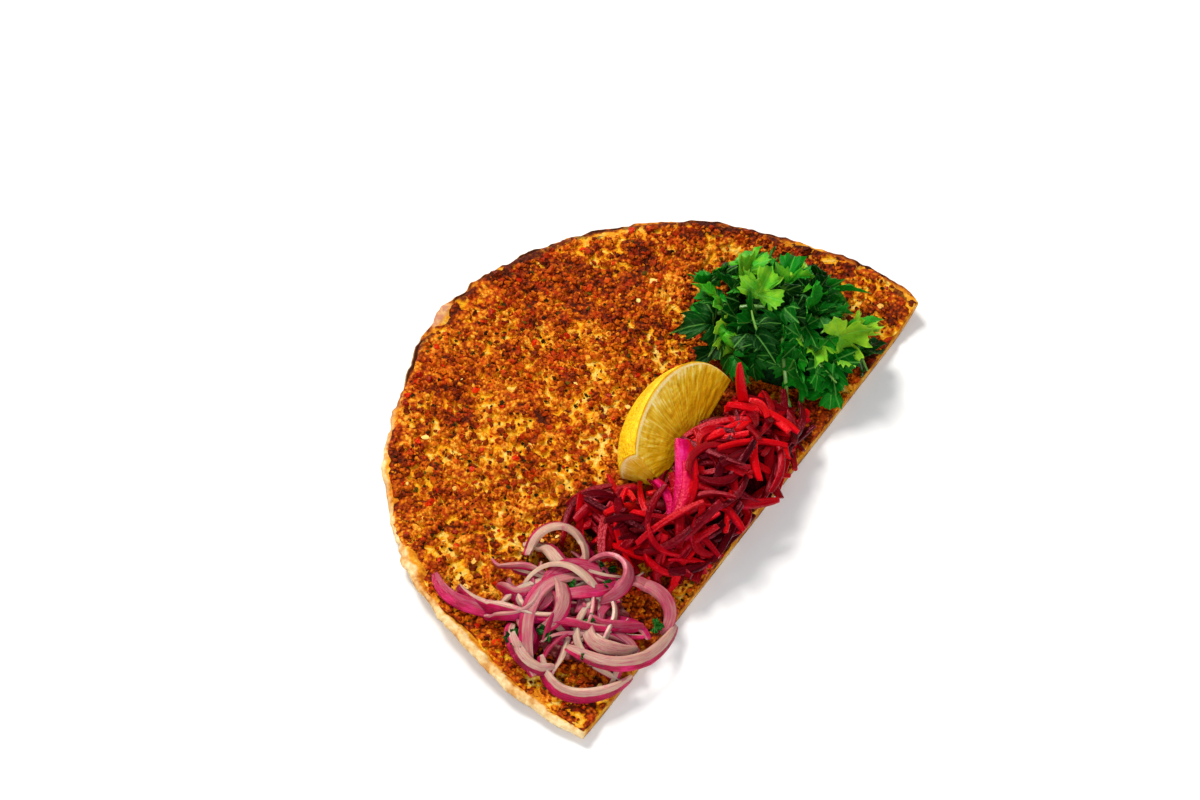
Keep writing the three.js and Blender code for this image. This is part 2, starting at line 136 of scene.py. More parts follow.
# The slices of the solid: an arc's place, radius, start and sweep, how far it rises and leans, and
# how far the skin's magenta spreads over it.
ONION_ARCS = (
    ((-17, -80), 24, 248, -138, 3, 10, 0.55),
    ((-19, -65), 24, 262, 118, 4, 40, 0.7),
    ((-16, -83), 18, 225, 135, 0.5, 60, 1),
    ((-54, -62), 28, 240, 90, 2, 65, 1.5),
    ((-62, -54), 38, 245, 65, 0.5, 20, 0.9),
    ((-46, -60), 11, 200, -190, 7, 45, 0.6),
    ((-27, -59), 9, 300, 230, 8, 60, 0.4),
    ((-34, -76), 15, 40, 140, 4, 50, 0.75),
    ((-11, -63), 12, 0, 170, 5, 20, 0.3),
    ((-44, -80), 13, 320, 130, 4, 30, 0.5),
    ((-31, -88), 12, 190, 130, 2.5, 30, 0.8),
    ((-52, -74), 16, 20, 100, 2, 15, 0.6),
    ((-12, -72), 10, 200, 150, 3, 45, 0.3),
)

# Where the cores end against their neighbours, and the gap between them.
PARSLEY_BORDER = 40.8
ONION_BORDER = -46.2
CORE_GAP = 0.4

LEMON_LENGTH = 62
LEMON_RADIUS = 26
LEMON_ANGLE = 62
LEMON_TRIM = 9
LEMON_AT = (-32, 7)
LEMON_TURN = 8
LEMON_ROLL = 15

GOLDEN_ANGLE = math.pi * (3 - math.sqrt(5))


# --- Camera, light and floor ---

VIEW_AZIMUTH = 34.3
VIEW_ELEVATION = 55
VIEW_DISTANCE = 1.2
VIEW_LENS = 100

# Lamps: place in metres, size, watts and colour.
RIM_SIDE_LAMP = (-0.75, 0.35, 0.95), 0.5, 22, (1, 0.97, 0.92)
CUT_SIDE_LAMP = (0.7, -0.9, 0.8), 0.9, 13, (0.98, 0.98, 1)
SKY = 0.33

FLOOR_SIZE = 6
FLOOR_DROP = 0.0002  # keeps it clear of the underside


def aim(thing, place, target):
    """Puts a camera or lamp at place, looking at target."""
    thing.location = place
    thing.rotation_euler = (place - target).to_track_quat("Z", "Y").to_euler()


def camera():
    azimuth, elevation = math.radians(VIEW_AZIMUTH), math.radians(VIEW_ELEVATION)
    flat = math.cos(elevation)
    back = Vector((math.sin(azimuth) * flat, -math.cos(azimuth) * flat, math.sin(elevation)))
    target = (cad_box[0] + cad_box[1]) / 2
    bpy.ops.object.camera_add()
    eye = bpy.context.object
    aim(eye, target + back * VIEW_DISTANCE, target)
    eye.data.lens = VIEW_LENS
    bpy.context.scene.camera = eye


def lamp(place, size, watts, colour):
    bpy.ops.object.light_add(type="AREA")
    light = bpy.context.object
    aim(light, Vector(place), Vector((0, 0, 0)))
    light.data.size = size
    light.data.energy = watts
    light.data.color = colour


def studio():
    lamp(*RIM_SIDE_LAMP)
    lamp(*CUT_SIDE_LAMP)
    world = bpy.data.worlds.new("studio")
    world.use_nodes = True
    sky = world.node_tree.nodes["Background"].inputs
    sky["Color"].default_value = (1, 1, 1, 1)
    sky["Strength"].default_value = SKY
    bpy.context.scene.world = world
    bpy.context.scene.view_settings.view_transform = "Standard"


# --- Shader maths ---


class Field:
    """A number that varies over a surface. Arithmetic on it adds Math nodes."""

    def __init__(self, finish, socket):
        self.finish = finish
        self.socket = socket

    def __add__(self, other):
        return self.finish.maths("ADD", self, other)

    def __sub__(self, other):
        return self.finish.maths("SUBTRACT", self, other)

    def __rsub__(self, other):
        return self.finish.maths("SUBTRACT", other, self)

    def __mul__(self, other):
        return self.finish.maths("MULTIPLY", self, other)

    __radd__ = __add__
    __rmul__ = __mul__

    def __abs__(self):
        return self.finish.maths("ABSOLUTE", self)

    def rise(self, low, high):
        """Smoothly 0 at low and 1 at high, also where low is the larger."""
        limits = {"Value": self, "From Min": low, "From Max": high}
        return self.finish.field("ShaderNodeMapRange", limits, interpolation_type="SMOOTHSTEP")


class Finish:
    """A material of nodes round one Principled shader. Sizes are in millimetres, and colours are
    given on the screen's scale of 0 to 255."""

    def __init__(self, name, gloss=0.5, gloss_tint=(255, 255, 255), **constants):
        self.material = bpy.data.materials.new(name)
        self.material.use_nodes = True
        self.tree = self.material.node_tree
        self.shader = self.tree.nodes["Principled BSDF"]
        constants.update(Specular_IOR_Level=gloss, Specular_Tint=tint(*gloss_tint))
        for socket, value in constants.items():
            self.shader.inputs[socket.replace("_", " ")].default_value = value
        self.place = self.add("ShaderNodeTexCoord").outputs["Object"]

    def add(self, kind, values=None, **settings):
        node = self.tree.nodes.new(kind)
        for name, setting in settings.items():
            setattr(node, name, setting)
        for name, value in (values or {}).items():
            self.feed(node.inputs[name], value)
        return node

    def feed(self, socket, value):
        if isinstance(value, Field):
            value = value.socket
        if isinstance(value, bpy.types.NodeSocket):
            self.tree.links.new(value, socket)
        else:
            socket.default_value = value

    def field(self, kind, values=None, output=0, **settings):
        return Field(self, self.add(kind, values, **settings).outputs[output])

    def maths(self, operation, *terms):
        return self.field("ShaderNodeMath", dict(enumerate(terms)), operation=operation)

    def attributes(self, names):
        """Values that the piece carries, one field for each name."""
        return [
            self.field("ShaderNodeAttribute", output="Fac", attribute_name=name)
            for name in names.split()
        ]

    def noise(self, size, detail=3, roughness=0.5):
        values = {"Scale": 1 / (size * MM), "Detail": detail, "Roughness": roughness}
        return self.field("ShaderNodeTexNoise", {"Vector": self.place, **values})

    def spots(self, size, feature="F1"):
        """Distance to the nearest of points about size apart, as a share of size."""
        values = {"Vector": self.place, "Scale": 1 / (size * MM)}
        return self.field("ShaderNodeTexVoronoi", values, feature=feature)

    def streaks(self, names, fineness, stretch):
        """Streaks that follow a piece, from the names of its values across and along it."""
        across, along = self.attributes(names)
        place = self.add("ShaderNodeCombineXYZ", {"X": across * fineness, "Y": along * stretch})
        values = {"Vector": place.outputs["Vector"], "Scale": 1, "Detail": 3, "Roughness": 0.6}
        return self.field("ShaderNodeTexNoise", values)

    def ramp(self, field, *stops):
        """Colours along a field, each with its place in front."""
        node = self.add("ShaderNodeValToRGB", {"Fac": field})
        steps = node.color_ramp.elements
        for place, *_ in stops[1:-1]:
            steps.new(place)
        for step, (place, *colour) in zip(steps, stops):
            step.position = place
            step.color = tint(*colour)
        return node.outputs["Color"]

    def mix(self, below, above, share):
        """One colour over another. The upper one may also be a plain colour."""
        above = tint(*above) if isinstance(above, tuple) else above
        node = self.add("ShaderNodeMix", {0: share, 6: below, 7: above}, data_type="RGBA")
        return node.outputs[2]

    def done(self, colour, roughness=None, height=None, relief=0):
        """height is a field from 0 to 1 that stands for relief millimetres."""
        self.feed(self.shader.inputs["Base Color"], colour)
        if roughness is not None:
            self.feed(self.shader.inputs["Roughness"], roughness)
        if height is not None:
            bump = self.add("ShaderNodeBump", {"Height": height, "Distance": relief * MM})
            self.feed(self.shader.inputs["Normal"], bump.outputs["Normal"])
        return self.material


def tint(red, green, blue):
    """A screen colour as the shaders' linear light."""
    def linear(level):
        share = level / 255
        return share / 12.92 if share <= 0.04045 else ((share + 0.055) / 1.055) ** 2.4

    return linear(red), linear(green), linear(blue), 1


# --- Chance and noise that are the same on every run ---


def dice(seed):
    """A run of random draws, the same as the solids' own."""
    state = seed

    def roll(low, high):
        nonlocal state
        state = (state * 48271) % 2147483647
        return low + (high - low) * state / 2147483647

    return roll


def lattice(i, j):
    wave = np.sin(i * 127.1 + j * 311.7) * 43758.5453
    return wave - np.floor(wave)


def smooth(low, high, value):
    share = np.clip((value - low) / (high - low), 0, 1)
    return share * share * (3 - 2 * share)


def noise(x, y):
    """Smooth noise from 0 to 1 with features of size 1."""
    i, j = np.floor(x), np.floor(y)
    u, v = smooth(0, 1, x - i), smooth(0, 1, y - j)
    low = lattice(i, j) + (lattice(i + 1, j) - lattice(i, j)) * u
    high = lattice(i, j + 1) + (lattice(i + 1, j + 1) - lattice(i, j + 1)) * u
    return low + (high - low) * v


def waver(x, y):
    """Smooth noise from -0.5 to 0.5."""
    return noise(x, y) - 0.5


def peak(value, at, width):
    """1 where value is at, falling to 0 over about twice the width."""
    return np.exp(-(((value - at) / width) ** 2))


def cap(away, radius):
    """Height of a round cap at a distance from its middle, as a share of its own height."""
    return np.sqrt(np.clip(1 - (away / radius) ** 2, 0, 1))


def lumps(x, y, size, salt):
    """Distance to the nearest of scattered points, as a share of size, and that point's chance."""
    i, j = np.floor(x / size), np.floor(y / size)
    nearest = np.full(np.shape(x), 9.0)
    chance = np.zeros(np.shape(x))
    for di in (-1, 0, 1):
        for dj in (-1, 0, 1):
            ci, cj = i + di, j + dj
            px = ci + 0.1 + 0.8 * lattice(ci + salt, cj)
            py = cj + 0.1 + 0.8 * lattice(ci, cj + 2 * salt)
            away = np.hypot(x / size - px, y / size - py)
            closer = away < nearest
            nearest = np.where(closer, away, nearest)
            chance = np.where(closer, lattice(ci + 3 * salt, cj + salt), chance)
    return nearest, chance


# --- The slice's outline and heights ---


def outline(turn):
    return 1 + sum(
        share * np.sin(wave * math.pi * turn) for wave, share in enumerate(OUTLINE_WAVES, 1)
    )


def polar(x, y):
    """Share of the radius, and how far round the rim, from 0 at the cut's upper end to 1."""
    across, along = np.minimum(x, 0) / DEPTH, y / HALF_CUT
    turn = np.arctan2(-across, along) / math.pi
    return np.hypot(across, along) / outline(turn), turn


def on_oval(share, turn):
    radius = share * outline(turn)
    return (
        -DEPTH * radius * np.sin(math.pi * turn),
        HALF_CUT * radius * np.cos(math.pi * turn),
    )


def lift(share, turn):
    rise = np.clip((share - LIFT_FROM) / (1 - LIFT_FROM), 0, 1)
    height = LIFT + LIFT_WAVE_LONG * np.sin(5 * math.pi * turn + 0.6)
    height = height + LIFT_WAVE_SHORT * np.sin(9 * math.pi * turn + 2.1)
    return height * rise * rise


def thickness(share, turn):
    upper, lower = RIM_BEAD
    bead = upper + (lower - upper) * smooth(0.5, 0.68, turn)
    width = RIM_BEAD_WIDTH * (0.4 + 0.5 * noise(15 * turn, 9.4))
    bead = bead * (0.1 + 1.1 * noise(28 * turn, 5.2)) * peak(share, RIM_BEAD_AT, width)
    edge = np.clip((share - EDGE_FROM) / (1 - EDGE_FROM), 0, 1)
    return DOUGH + bead + (EDGE - DOUGH - bead) * edge**3


def swell(x, y):
    return SWELL * (np.sin(x / 13 + 1) * np.cos(y / 17) + 0.7 * np.sin((x + y) / 19))


def dough_top(x, y):
    share, turn = polar(x, y)
    share = np.clip(share, 0, 1)
    calm = 1 - np.clip((share - LIFT_FROM) / (1 - LIFT_FROM), 0, 1)
    return lift(share, turn) + thickness(share, turn) + swell(x, y) * calm


def seat(x, y):
    return dough_top(x, y) + MEAT_THICK + 2 * GAP


def heap_top(heap, x, y):
    (at_x, at_y), (across, along) = heap["at"], heap["radii"]
    share = np.hypot((x - at_x) / across, (y - at_y) / along)
    return seat(x, y) + heap["height"] * np.sqrt(np.maximum(0, 1 - share * share))


def spot_on(heap, outward, share):
    """The place on a heap at a share of its radii, outward being an angle."""
    (at_x, at_y), (across, along) = heap["at"], heap["radii"]
    return at_x + across * share * math.cos(outward), at_y + along * share * math.sin(outward)


def over_heap(heap, count, roll):
    """Points spread evenly over a heap, with the way outwards and their share of its radii."""
    turns = [i * GOLDEN_ANGLE + roll(-0.3, 0.3) for i in range(count)]
    spots = []
    for i, outward in enumerate(turns):
        share = 0.97 * math.sqrt((i + 0.5) / count)
        x, y = spot_on(heap, outward, share)
        spots.append((np.array((x, y, float(heap_top(heap, x, y)))), outward, share))
    return spots


def shade_in(heap, points):
    """Painted shade in a heap: 0 on its surface and 1 as far under it as it is always dark."""
    under = heap_top(heap, *points.T[:2]) - points[:, 2]
    return np.clip((under + 0.3) / heap["shade"], 0, 1)


def slice_origin():
    """Where the slice's own origin lies in the part's frame, in millimetres."""
    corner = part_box("flatbread")[1] / MM
    turns = np.linspace(0, 1, 4 * SOLID_RINGS + 1)
    return np.array((corner.x, corner.y - on_oval(1, turns)[1].max(), 0))


ORIGIN = slice_origin()


# --- Modelling ---


def deselect():
    bpy.ops.object.select_all(action="DESELECT")


def corners_of(thing):
    corners = np.empty(3 * len(thing.data.vertices))
    thing.data.vertices.foreach_get("co", corners)
    return corners.reshape(-1, 3)


def edit(*steps):
    """Runs edit-mode steps on all of the active object."""
    bpy.ops.object.mode_set(mode="EDIT")
    bpy.ops.mesh.select_all(action="SELECT")
    for step in steps:
        step()
    bpy.ops.object.mode_set(mode="OBJECT")


def shaped(thing, corners):
    thing.data.vertices.foreach_set("co", np.ascontiguousarray(corners).ravel())
    thing.data.update()


def pattern():
    """The active object's triangles as arrays of corners and faces. The object goes."""
    edit(bpy.ops.mesh.quads_convert_to_tris)
    thing = bpy.context.object
    faces = np.empty(3 * len(thing.data.polygons), int)
    thing.data.loops.foreach_get("vertex_index", faces)
    corners = corners_of(thing)
    bpy.data.objects.remove(thing)
    return corners, faces.reshape(-1, 3)


def placed(thing, name, material, slot, values=None, angle=None):
    """Gives a shape in the slice's frame its place, name, finish and the values its finish reads."""
    for key, numbers in (values or {}).items():
        layer = thing.data.attributes.new(key, "FLOAT", "POINT")
        layer.data.foreach_set("value", np.ascontiguousarray(numbers, dtype=np.float32))
    shaped(thing, (corners_of(thing) + ORIGIN) * MM)
    deselect()
    thing.select_set(True)
    bpy.context.view_layer.objects.active = thing
    thing.name = name
    thing.data.name = name
    thing.data.materials.append(material)
    if angle is None:
        bpy.ops.object.shade_smooth()
    else:
        bpy.ops.object.shade_smooth_by_angle(angle=math.radians(angle))
    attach(thing, BODY)
    return thing


def scattered(name, faces, copies, material, slot, angle=None):
    """One piece out of many shapes of the same pattern, each given as its corners and values."""
    count = len(copies[0][0])
    corners = np.concatenate([points for points, _ in copies])
    faces = np.concatenate([faces + i * count for i in range(len(copies))])
    mesh = bpy.data.meshes.new(name)
    mesh.from_pydata(corners.tolist(), [], faces.tolist())
    thing = bpy.data.objects.new(name, mesh)
    bpy.context.scene.collection.objects.link(thing)
    values = {
        key: np.concatenate([np.broadcast_to(look[key], count) for _, look in copies])
        for key in copies[0][1]
    }
    return placed(thing, name, material, slot, values, angle)


def xyz(x, y, z):
    """Points from their coordinates, each an array or one number for all."""
    return np.stack(np.broadcast_arrays(x, y, z), axis=-1)


def turned(points, *angles):
    """Points turned about X, then about Y and Z where those angles are given."""
    for axis, angle in enumerate(angles):
        a, b = (axis + 1) % 3, (axis + 2) % 3
        cosine, sine = math.cos(angle), math.sin(angle)
        result = points.copy()
        result[:, a] = cosine * points[:, a] - sine * points[:, b]
        result[:, b] = sine * points[:, a] + cosine * points[:, b]
        points = result
    return points


def unit(rows):
    return rows / np.linalg.norm(rows, axis=-1, keepdims=True)


# --- Dough and meat ---

WARM_GLOSS = (255, 206, 150)  # reflections off oily meat
# Colours of the meat from charred to oily, as stops of a ramp.
BROWNED = (
    (0.14, 62, 8, 0), (0.32, 120, 32, 0), (0.46, 156, 56, 0), (0.6, 186, 86, 2),
    (0.74, 212, 122, 14), (0.92, 236, 164, 50),
)
RIM_ROUNDING = 0.6  # millimetres over which the rim's edge is rounded
FOLD_AT = 0.79  # how far round a bit of the rim is folded inwards
# Patches of the rim without meat: how far round, half their width, and millimetres left bare.
BARE_PATCHES = ((0.485, 0.018, 3.2), (0.3, 0.004, 1.3), (FOLD_AT, 0.02, 2))
DOUGH_CELLS = 128
DOUGH_BASE_CELLS = 48
MEAT_CELLS = 210
MEAT_BASE_CELLS = 38
CRUMB = 3.3  # size of a crumb of meat
GRAIN = 1.7  # size of the grains in it


def half_oval_shell(cells, base_cells):
    """A closed shell with a fine upper face and a coarser lower one, still as a flat grid."""
    deselect()
    for count, height in ((base_cells, -1), (cells, 1)):
        bpy.ops.mesh.primitive_grid_add(
            x_subdivisions=count, y_subdivisions=2 * count, size=2, calc_uvs=False,
            location=(0, 0, height),
        )
        if height < 0:
            lower = bpy.context.object
            edit(bpy.ops.mesh.flip_normals)
    lower.select_set(True)
    bpy.ops.object.join()
    bpy.ops.object.mode_set(mode="EDIT")
    bpy.ops.mesh.select_mode(type="EDGE")
    bpy.ops.mesh.select_all(action="DESELECT")
    bpy.ops.mesh.select_non_manifold()
    bpy.ops.mesh.bridge_edge_loops()
    bpy.ops.mesh.select_all(action="SELECT")
    bpy.ops.mesh.normals_make_consistent(inside=False)
    bpy.ops.object.mode_set(mode="OBJECT")
    bpy.ops.object.transform_apply(location=True)
    return bpy.context.object


def rings_of(thing):
    """Ring and turn of each corner of a flat grid, and whether it is on the upper face."""
    x, y, z = corners_of(thing).T
    x = (x - 1) / 2
    ring = np.maximum(abs(x), abs(y))
    safe = np.maximum(ring, 1e-9)
    on_side = abs(x) >= abs(y)
    turn = np.where(on_side, 0.5 - 0.25 * y / safe, 0.25 * -x / safe)
    turn = np.where(~on_side & (y < 0), 1 - turn, turn)
    return ring, np.where(ring > 0, turn, 0.5), z > 0


def richness(x, y):
    """How much thicker the meat lies at the rim's middle, and thinner beside the lemon."""
    return 0.07 * peak(x, -104, 42) * peak(y, 8, 62) - 0.36 * peak(x, -68, 27) * peak(y, -16, 44)


def meat(x, y):
    """Height of the meat over the dough, and what its finish reads."""
    wander_x = x + 1.8 * waver(x / 2.9 + 3, y / 2.9 + 9)
    wander_y = y + 1.8 * waver(x / 2.9 + 61, y / 2.9 + 27)
    crumb, chance = lumps(wander_x, wander_y, CRUMB, 5)
    grain, grain_chance = lumps(wander_x, wander_y, GRAIN, 17)
    coarse = noise(x / CLUMP + 7.3, y / CLUMP + 2.9)
    fine = noise(x / (CLUMP / 3) + 31, y / (CLUMP / 3) + 17)
    clump = np.clip(0.42 * coarse + 0.62 * fine + 0.01 + richness(x, y), 0, 1)
    # A crumb spreads over its own cell where the meat lies thick and is an island where it's thin.
    spread = 1.15 * clump + 0.03 + 0.3 * (chance - 0.5)
    cover = smooth(-0.07, 0.07, spread - crumb)
    dome, small = cap(crumb, 0.72), cap(grain, 0.62)
    lump = dome * (0.35 + 0.75 * chance) + small * (0.25 + 0.3 * grain_chance)
    browned = 0.5 * noise(x / 20 + 5, y / 20 + 40) + 0.55 * noise(x / 8 + 15, y / 8 + 4)
    return {
        "height": MEAT_THIN + cover * (1.3 * clump + lump) + (1 - cover) * 0.25 * small,
        "cover": cover,
        "tone": 0.55 + 0.26 * chance + 0.18 * grain_chance + 0.85 * (browned - 0.52) - 0.62 * clump,
        "gap": np.clip((crumb - spread) / 0.3, 0, 1),
        # The crumbs' height, which the finish paints lighter on their tops and darker between them,
        # as painted light and shade.
        "crown": 0.6 * dome + 0.4 * small,
    }


def bare_rim(turn):
    """Millimetres of dough left bare at the rim: some patches, and most of it at the lower end."""
    patches = sum(bare * peak(turn, at, width) for at, width, bare in BARE_PATCHES)
    lower_end = 2.2 * smooth(0.82, 0.87, turn) * smooth(1, 0.94, turn)
    return 1.5 + 0.4 * smooth(0.5, 0.6, turn) + lower_end + patches


def rim_radius(turn):
    return np.hypot(*on_oval(1, turn))


def meat_reach(turn):
    """Share of the radius at which the meat ends."""
    wave = 0.3 * (np.sin(23 * math.pi * turn + 0.4) + np.sin(37 * math.pi * turn))
    ragged = 1.5 * (noise(90 * turn, 3.3) - 0.4) + 0.9 * waver(210 * turn, 6.1)
    return 1 - (bare_rim(turn) + wave + ragged) / rim_radius(turn)


def thinned(ring):
    """How the layer of meat thins out towards its own edge, which is at ring 1."""
    return np.clip((1 - ring) * 12 + 0.1, 0, 1)


def floured(turn):
    """How pale and floury the rim is: most along its lower half and in its bare patches."""
    lower = smooth(0.56, 0.7, turn + 0.14 * waver(14 * turn, 1.7))
    return np.maximum(lower, smooth(2.2, 3.6, bare_rim(turn)) * smooth(0.56, 0.5, turn))


def dough_finish():
    skin = Finish("baked dough", 0.16, WARM_GLOSS)
    share, flour, band, rosy, under = skin.attributes("share flour band rosy under")
    cloud, fine = skin.noise(9), skin.noise(1.6, 4)
    crust = skin.ramp(
        cloud + 0.8 * (fine - 0.5) + 0.3 * (skin.noise(4) - 0.5),
        (0.2, 150, 74, 12), (0.42, 196, 116, 20), (0.6, 216, 148, 34), (0.8, 232, 186, 84),
    )
    pale = skin.ramp(
        cloud + 0.7 * (fine - 0.5),
        (0.25, 184, 128, 70), (0.45, 212, 172, 112), (0.7, 230, 208, 158),
    )
    pale = skin.mix(pale, (190, 124, 52), 0.6 * skin.noise(5, 4).rise(0.52, 0.66))
    pale = skin.mix(pale, (172, 108, 84), 0.9 * rosy * (fine + cloud).rise(0.75, 1.15))
    edge = share + 0.012 * (cloud - 0.5) + 0.01 * (fine - 0.5) - band
    colour = skin.mix(crust, pale, edge.rise(-0.004, 0.008) * flour)
    freckle = skin.spots(3.7).rise(0.2, 0.1) * skin.noise(12).rise(0.5, 0.6)
    colour = skin.mix(colour, (128, 62, 20), 0.8 * freckle)
    scorch = share + 0.03 * (skin.noise(3) - 0.5) + 0.05 * (skin.noise(14) - 0.5)
    patchy = (skin.noise(17, 4) + 0.3 * (fine - 0.5)).rise(0.36, 0.56)
    scorch = scorch.rise(0.974, 0.994) * (1 - flour) * patchy
    colour = skin.mix(colour, (140, 62, 18), scorch.rise(0, 0.5))
    colour = skin.mix(colour, (48, 12, 4), scorch.rise(0.35, 1))
    base = skin.ramp(
        skin.noise(8, 5, 0.65) + 0.3 * (fine - 0.5),
        (0.34, 232, 206, 158), (0.46, 214, 166, 100), (0.58, 168, 102, 44), (0.7, 90, 44, 18),
    )
    colour = skin.mix(colour, base, under)
    return skin.done(colour, 0.75 + 0.2 * fine, skin.noise(1.1, 4, 0.6), 0.5)


def dough():
    thing = half_oval_shell(DOUGH_CELLS, DOUGH_BASE_CELLS)
    ring, turn, upper = rings_of(thing)
    share = 1 - (1 - ring) ** RING_CROWDING
    x, y = on_oval(share, turn)
    rim = smooth(0.9, 1, share)
    ragged = 1.5 * waver(60 * turn, 8.1) + 0.9 * waver(170 * turn, 2.2)
    ragged = rim * (ragged + 0.5 * waver(250 * turn, 12.4))
    wrinkle = rim * (0.9 * waver(95 * turn, 16 * share) + 0.5 * waver(230 * turn, 30 * share))
    puff = 0.5 * waver(x / 4.2, y / 4.2 + 50) + 0.45 * waver(x / 1.9, y / 1.9)
    fold = peak(turn, FOLD_AT, 0.016) * peak(share, 0.965, 0.014)
    crease = peak(turn, FOLD_AT, 0.02) * peak(share, 0.938, 0.006)
    round_off = np.clip((share - 1) * HALF_CUT / RIM_ROUNDING + 1, 0, 1)
    tuck = EDGE / 2 * (1 - np.sqrt(1 - round_off**2))
    top = dough_top(x, y) + puff * smooth(0.3, 0, round_off) + 1.5 * fold - 0.5 * crease + wrinkle
    low = np.maximum(lift(share, turn) + 0.6 * np.minimum(wrinkle, 0), 0)
    outward = unit(np.stack((x / DEPTH, y / HALF_CUT), axis=-1) + 1e-9).T * ragged
    outward[0] *= smooth(0, -1.5, x)
    shaped(thing, xyz(x + outward[0], y + outward[1], np.where(upper, top - tuck, low + tuck)))
    wall = 0.85 * smooth(0.1, 0.8, round_off) * (1 - floured(turn)) * smooth(0, -2, x)
    values = {
        "share": share, "band": 1 - 0.86 * bare_rim(turn) / rim_radius(turn),
        "flour": floured(turn), "rosy": smooth(0.56, 0.5, turn),
        "under": np.where(upper, wall, np.maximum(smooth(1, 0.99, share), wall)),
    }
    piece = placed(thing, "baked_dough", dough_finish(), "baked_dough", values)
    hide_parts("flatbread")


def meat_finish():
    skin = Finish("baked minced meat", 0.2, WARM_GLOSS)
    cover, tone, crown, gap, burnt = skin.attributes("cover tone crown gap burnt")
    fine, grit, cloud = skin.noise(1.3, 4, 0.6), skin.noise(0.6), skin.noise(6)
    grain = skin.spots(1.5)
    # Painted light and shade: lighter on the tops of crumbs and in the middles of grains, darker
    # between them.
    meat_colour = skin.ramp(
        tone + 0.5 * (fine - 0.5) + 0.3 * (crown - 0.5) + 0.2 * (grit - 0.5) - 0.7 * (grain - 0.45),
        *BROWNED,
    )
    meat_colour = skin.mix(meat_colour, (196, 44, 2), 0.4 * skin.noise(5, 4).rise(0.52, 0.66))
    oil = skin.ramp(
        0.6 * gap + 0.9 * (cloud - 0.5) + 0.5 * (fine - 0.5) + 0.2 * (grit - 0.5) + 0.2,
        (0.05, 174, 66, 0), (0.25, 208, 108, 0), (0.45, 224, 144, 6), (0.66, 230, 166, 26),
        (0.94, 236, 200, 104),
    )
    colour = skin.mix(oil, meat_colour, (cover + 0.5 * (fine - 0.5)).rise(0.3, 0.62))
    # Painted shade in the hollows between crumbs.
    dip = (crown + 0.3 * (grit - 0.5)).rise(0.34, 0.1) * cover
    colour = skin.mix(colour, (70, 16, 0), 0.7 * dip)
    char = (skin.spots(3.1) + 0.12 * (grit - 0.5)).rise(0.17, 0.09) * skin.noise(13).rise(0.42, 0.56)
    colour = skin.mix(colour, (30, 10, 2), char)
    herb = (skin.spots(4.3) + 0.12 * (grit - 0.5)).rise(0.18, 0.1) * skin.noise(17).rise(0.5, 0.6)
    colour = skin.mix(colour, (66, 50, 4), herb)
    burnt = burnt + 1.4 * (skin.noise(13) - 0.5) + 0.4 * (fine - 0.5)
    colour = skin.mix(colour, (60, 12, 10), 0.8 * burnt.rise(0.85, 1.05))
    return skin.done(colour, 0.42 + 0.35 * fine, fine + 0.5 * grit - 0.9 * grain, 0.9)


def meat_layer():
    thing = half_oval_shell(MEAT_CELLS, MEAT_BASE_CELLS)
    ring, turn, upper = rings_of(thing)
    x, y = on_oval(ring * meat_reach(turn), turn)
    look = meat(x, y)
    z = dough_top(x, y) + np.where(upper, look.pop("height") * thinned(ring), -GAP)
    x = x - np.where(x > -0.1, 0.7 * noise(y / 2.3, z + 9), 0)
    shaped(thing, xyz(x, y, z))
    look["burnt"] = smooth(0.95, 0.995, ring) * smooth(0.6, 0.52, turn)
    piece = placed(thing, "meat_layer", meat_finish(), "minced_meat", look)
    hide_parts("meat_topping")


# --- Small bits on the meat ---


def lump_shapes(count, seed):
    """Irregular lumps about 2 across, and the faces that they all have."""
    bpy.ops.mesh.primitive_ico_sphere_add(subdivisions=2, radius=1, calc_uvs=False)
    ball, faces = pattern()
    roll = np.random.default_rng(seed)
    shapes = []
    for _ in range(count):
        rough = sum(
            0.2 * np.sin(ball @ roll.normal(0, 3.4, 3) + roll.uniform(0, 6)) for _ in range(4)
        )
        shapes.append(ball * (1 + rough)[:, None] * roll.uniform(0.75, 1.15, 3))
    return shapes, faces


def bits(name, material, seed, count, widths, flat, sink, keep):
    """Lumps of random width scattered on the meat where keep says so."""
    roll = np.random.default_rng(seed)
    shapes, faces = lump_shapes(5, seed)
    draws = 6 * count
    share, turn = np.sqrt(roll.uniform(0, 1, draws)), roll.uniform(0.01, 0.99, draws)
    x, y = on_oval(share, turn)
    x = np.minimum(x, -1)
    on_layer = share < meat_reach(turn) - 0.012
    kept = np.flatnonzero(on_layer & keep(x, y, roll.uniform(0, 1, draws)))[:count]
    tops = dough_top(x, y) + meat(x, y)["height"] * thinned(share / meat_reach(turn))
    copies = []
    for i in kept:
        shape = shapes[roll.integers(len(shapes))]
        size = roll.uniform(*widths) / 2
        points = shape * size * (1, roll.uniform(0.6, 1), flat)
        points = turned(points, roll.normal(0, 0.3), 0, roll.uniform(0, 2 * math.pi))
        points = points + (x[i], y[i], tops[i] + size * (flat - sink))
        copies.append((points, {"tone": roll.uniform(0, 1)}))
    scattered(name, faces, copies, material, "minced_meat", angle=40)


def bit_finish(name, low, high, roughness):
    skin = Finish(name, 0.15, WARM_GLOSS)
    (tone,) = skin.attributes("tone")
    fine = skin.noise(0.9)
    colour = skin.ramp(tone + 0.7 * (fine - 0.5), (0.15, *low), (0.85, *high))
    return skin.done(colour, roughness + 0.3 * (fine - 0.5), fine, 0.3)


def crumb_finish():
    skin = Finish("crumbs of meat", 0.2, WARM_GLOSS)
    (tone,) = skin.attributes("tone")
    fine = skin.noise(1.1, 4, 0.6)
    tone = 0.2 + 0.5 * tone + 0.8 * (skin.noise(9) - 0.5)
    colour = skin.ramp(tone + 0.7 * (fine - 0.5), *BROWNED)
    colour = skin.mix(colour, (196, 44, 2), 0.5 * skin.noise(4, 4).rise(0.52, 0.64))
    return skin.done(colour, 0.45 + 0.3 * fine, fine, 0.5)


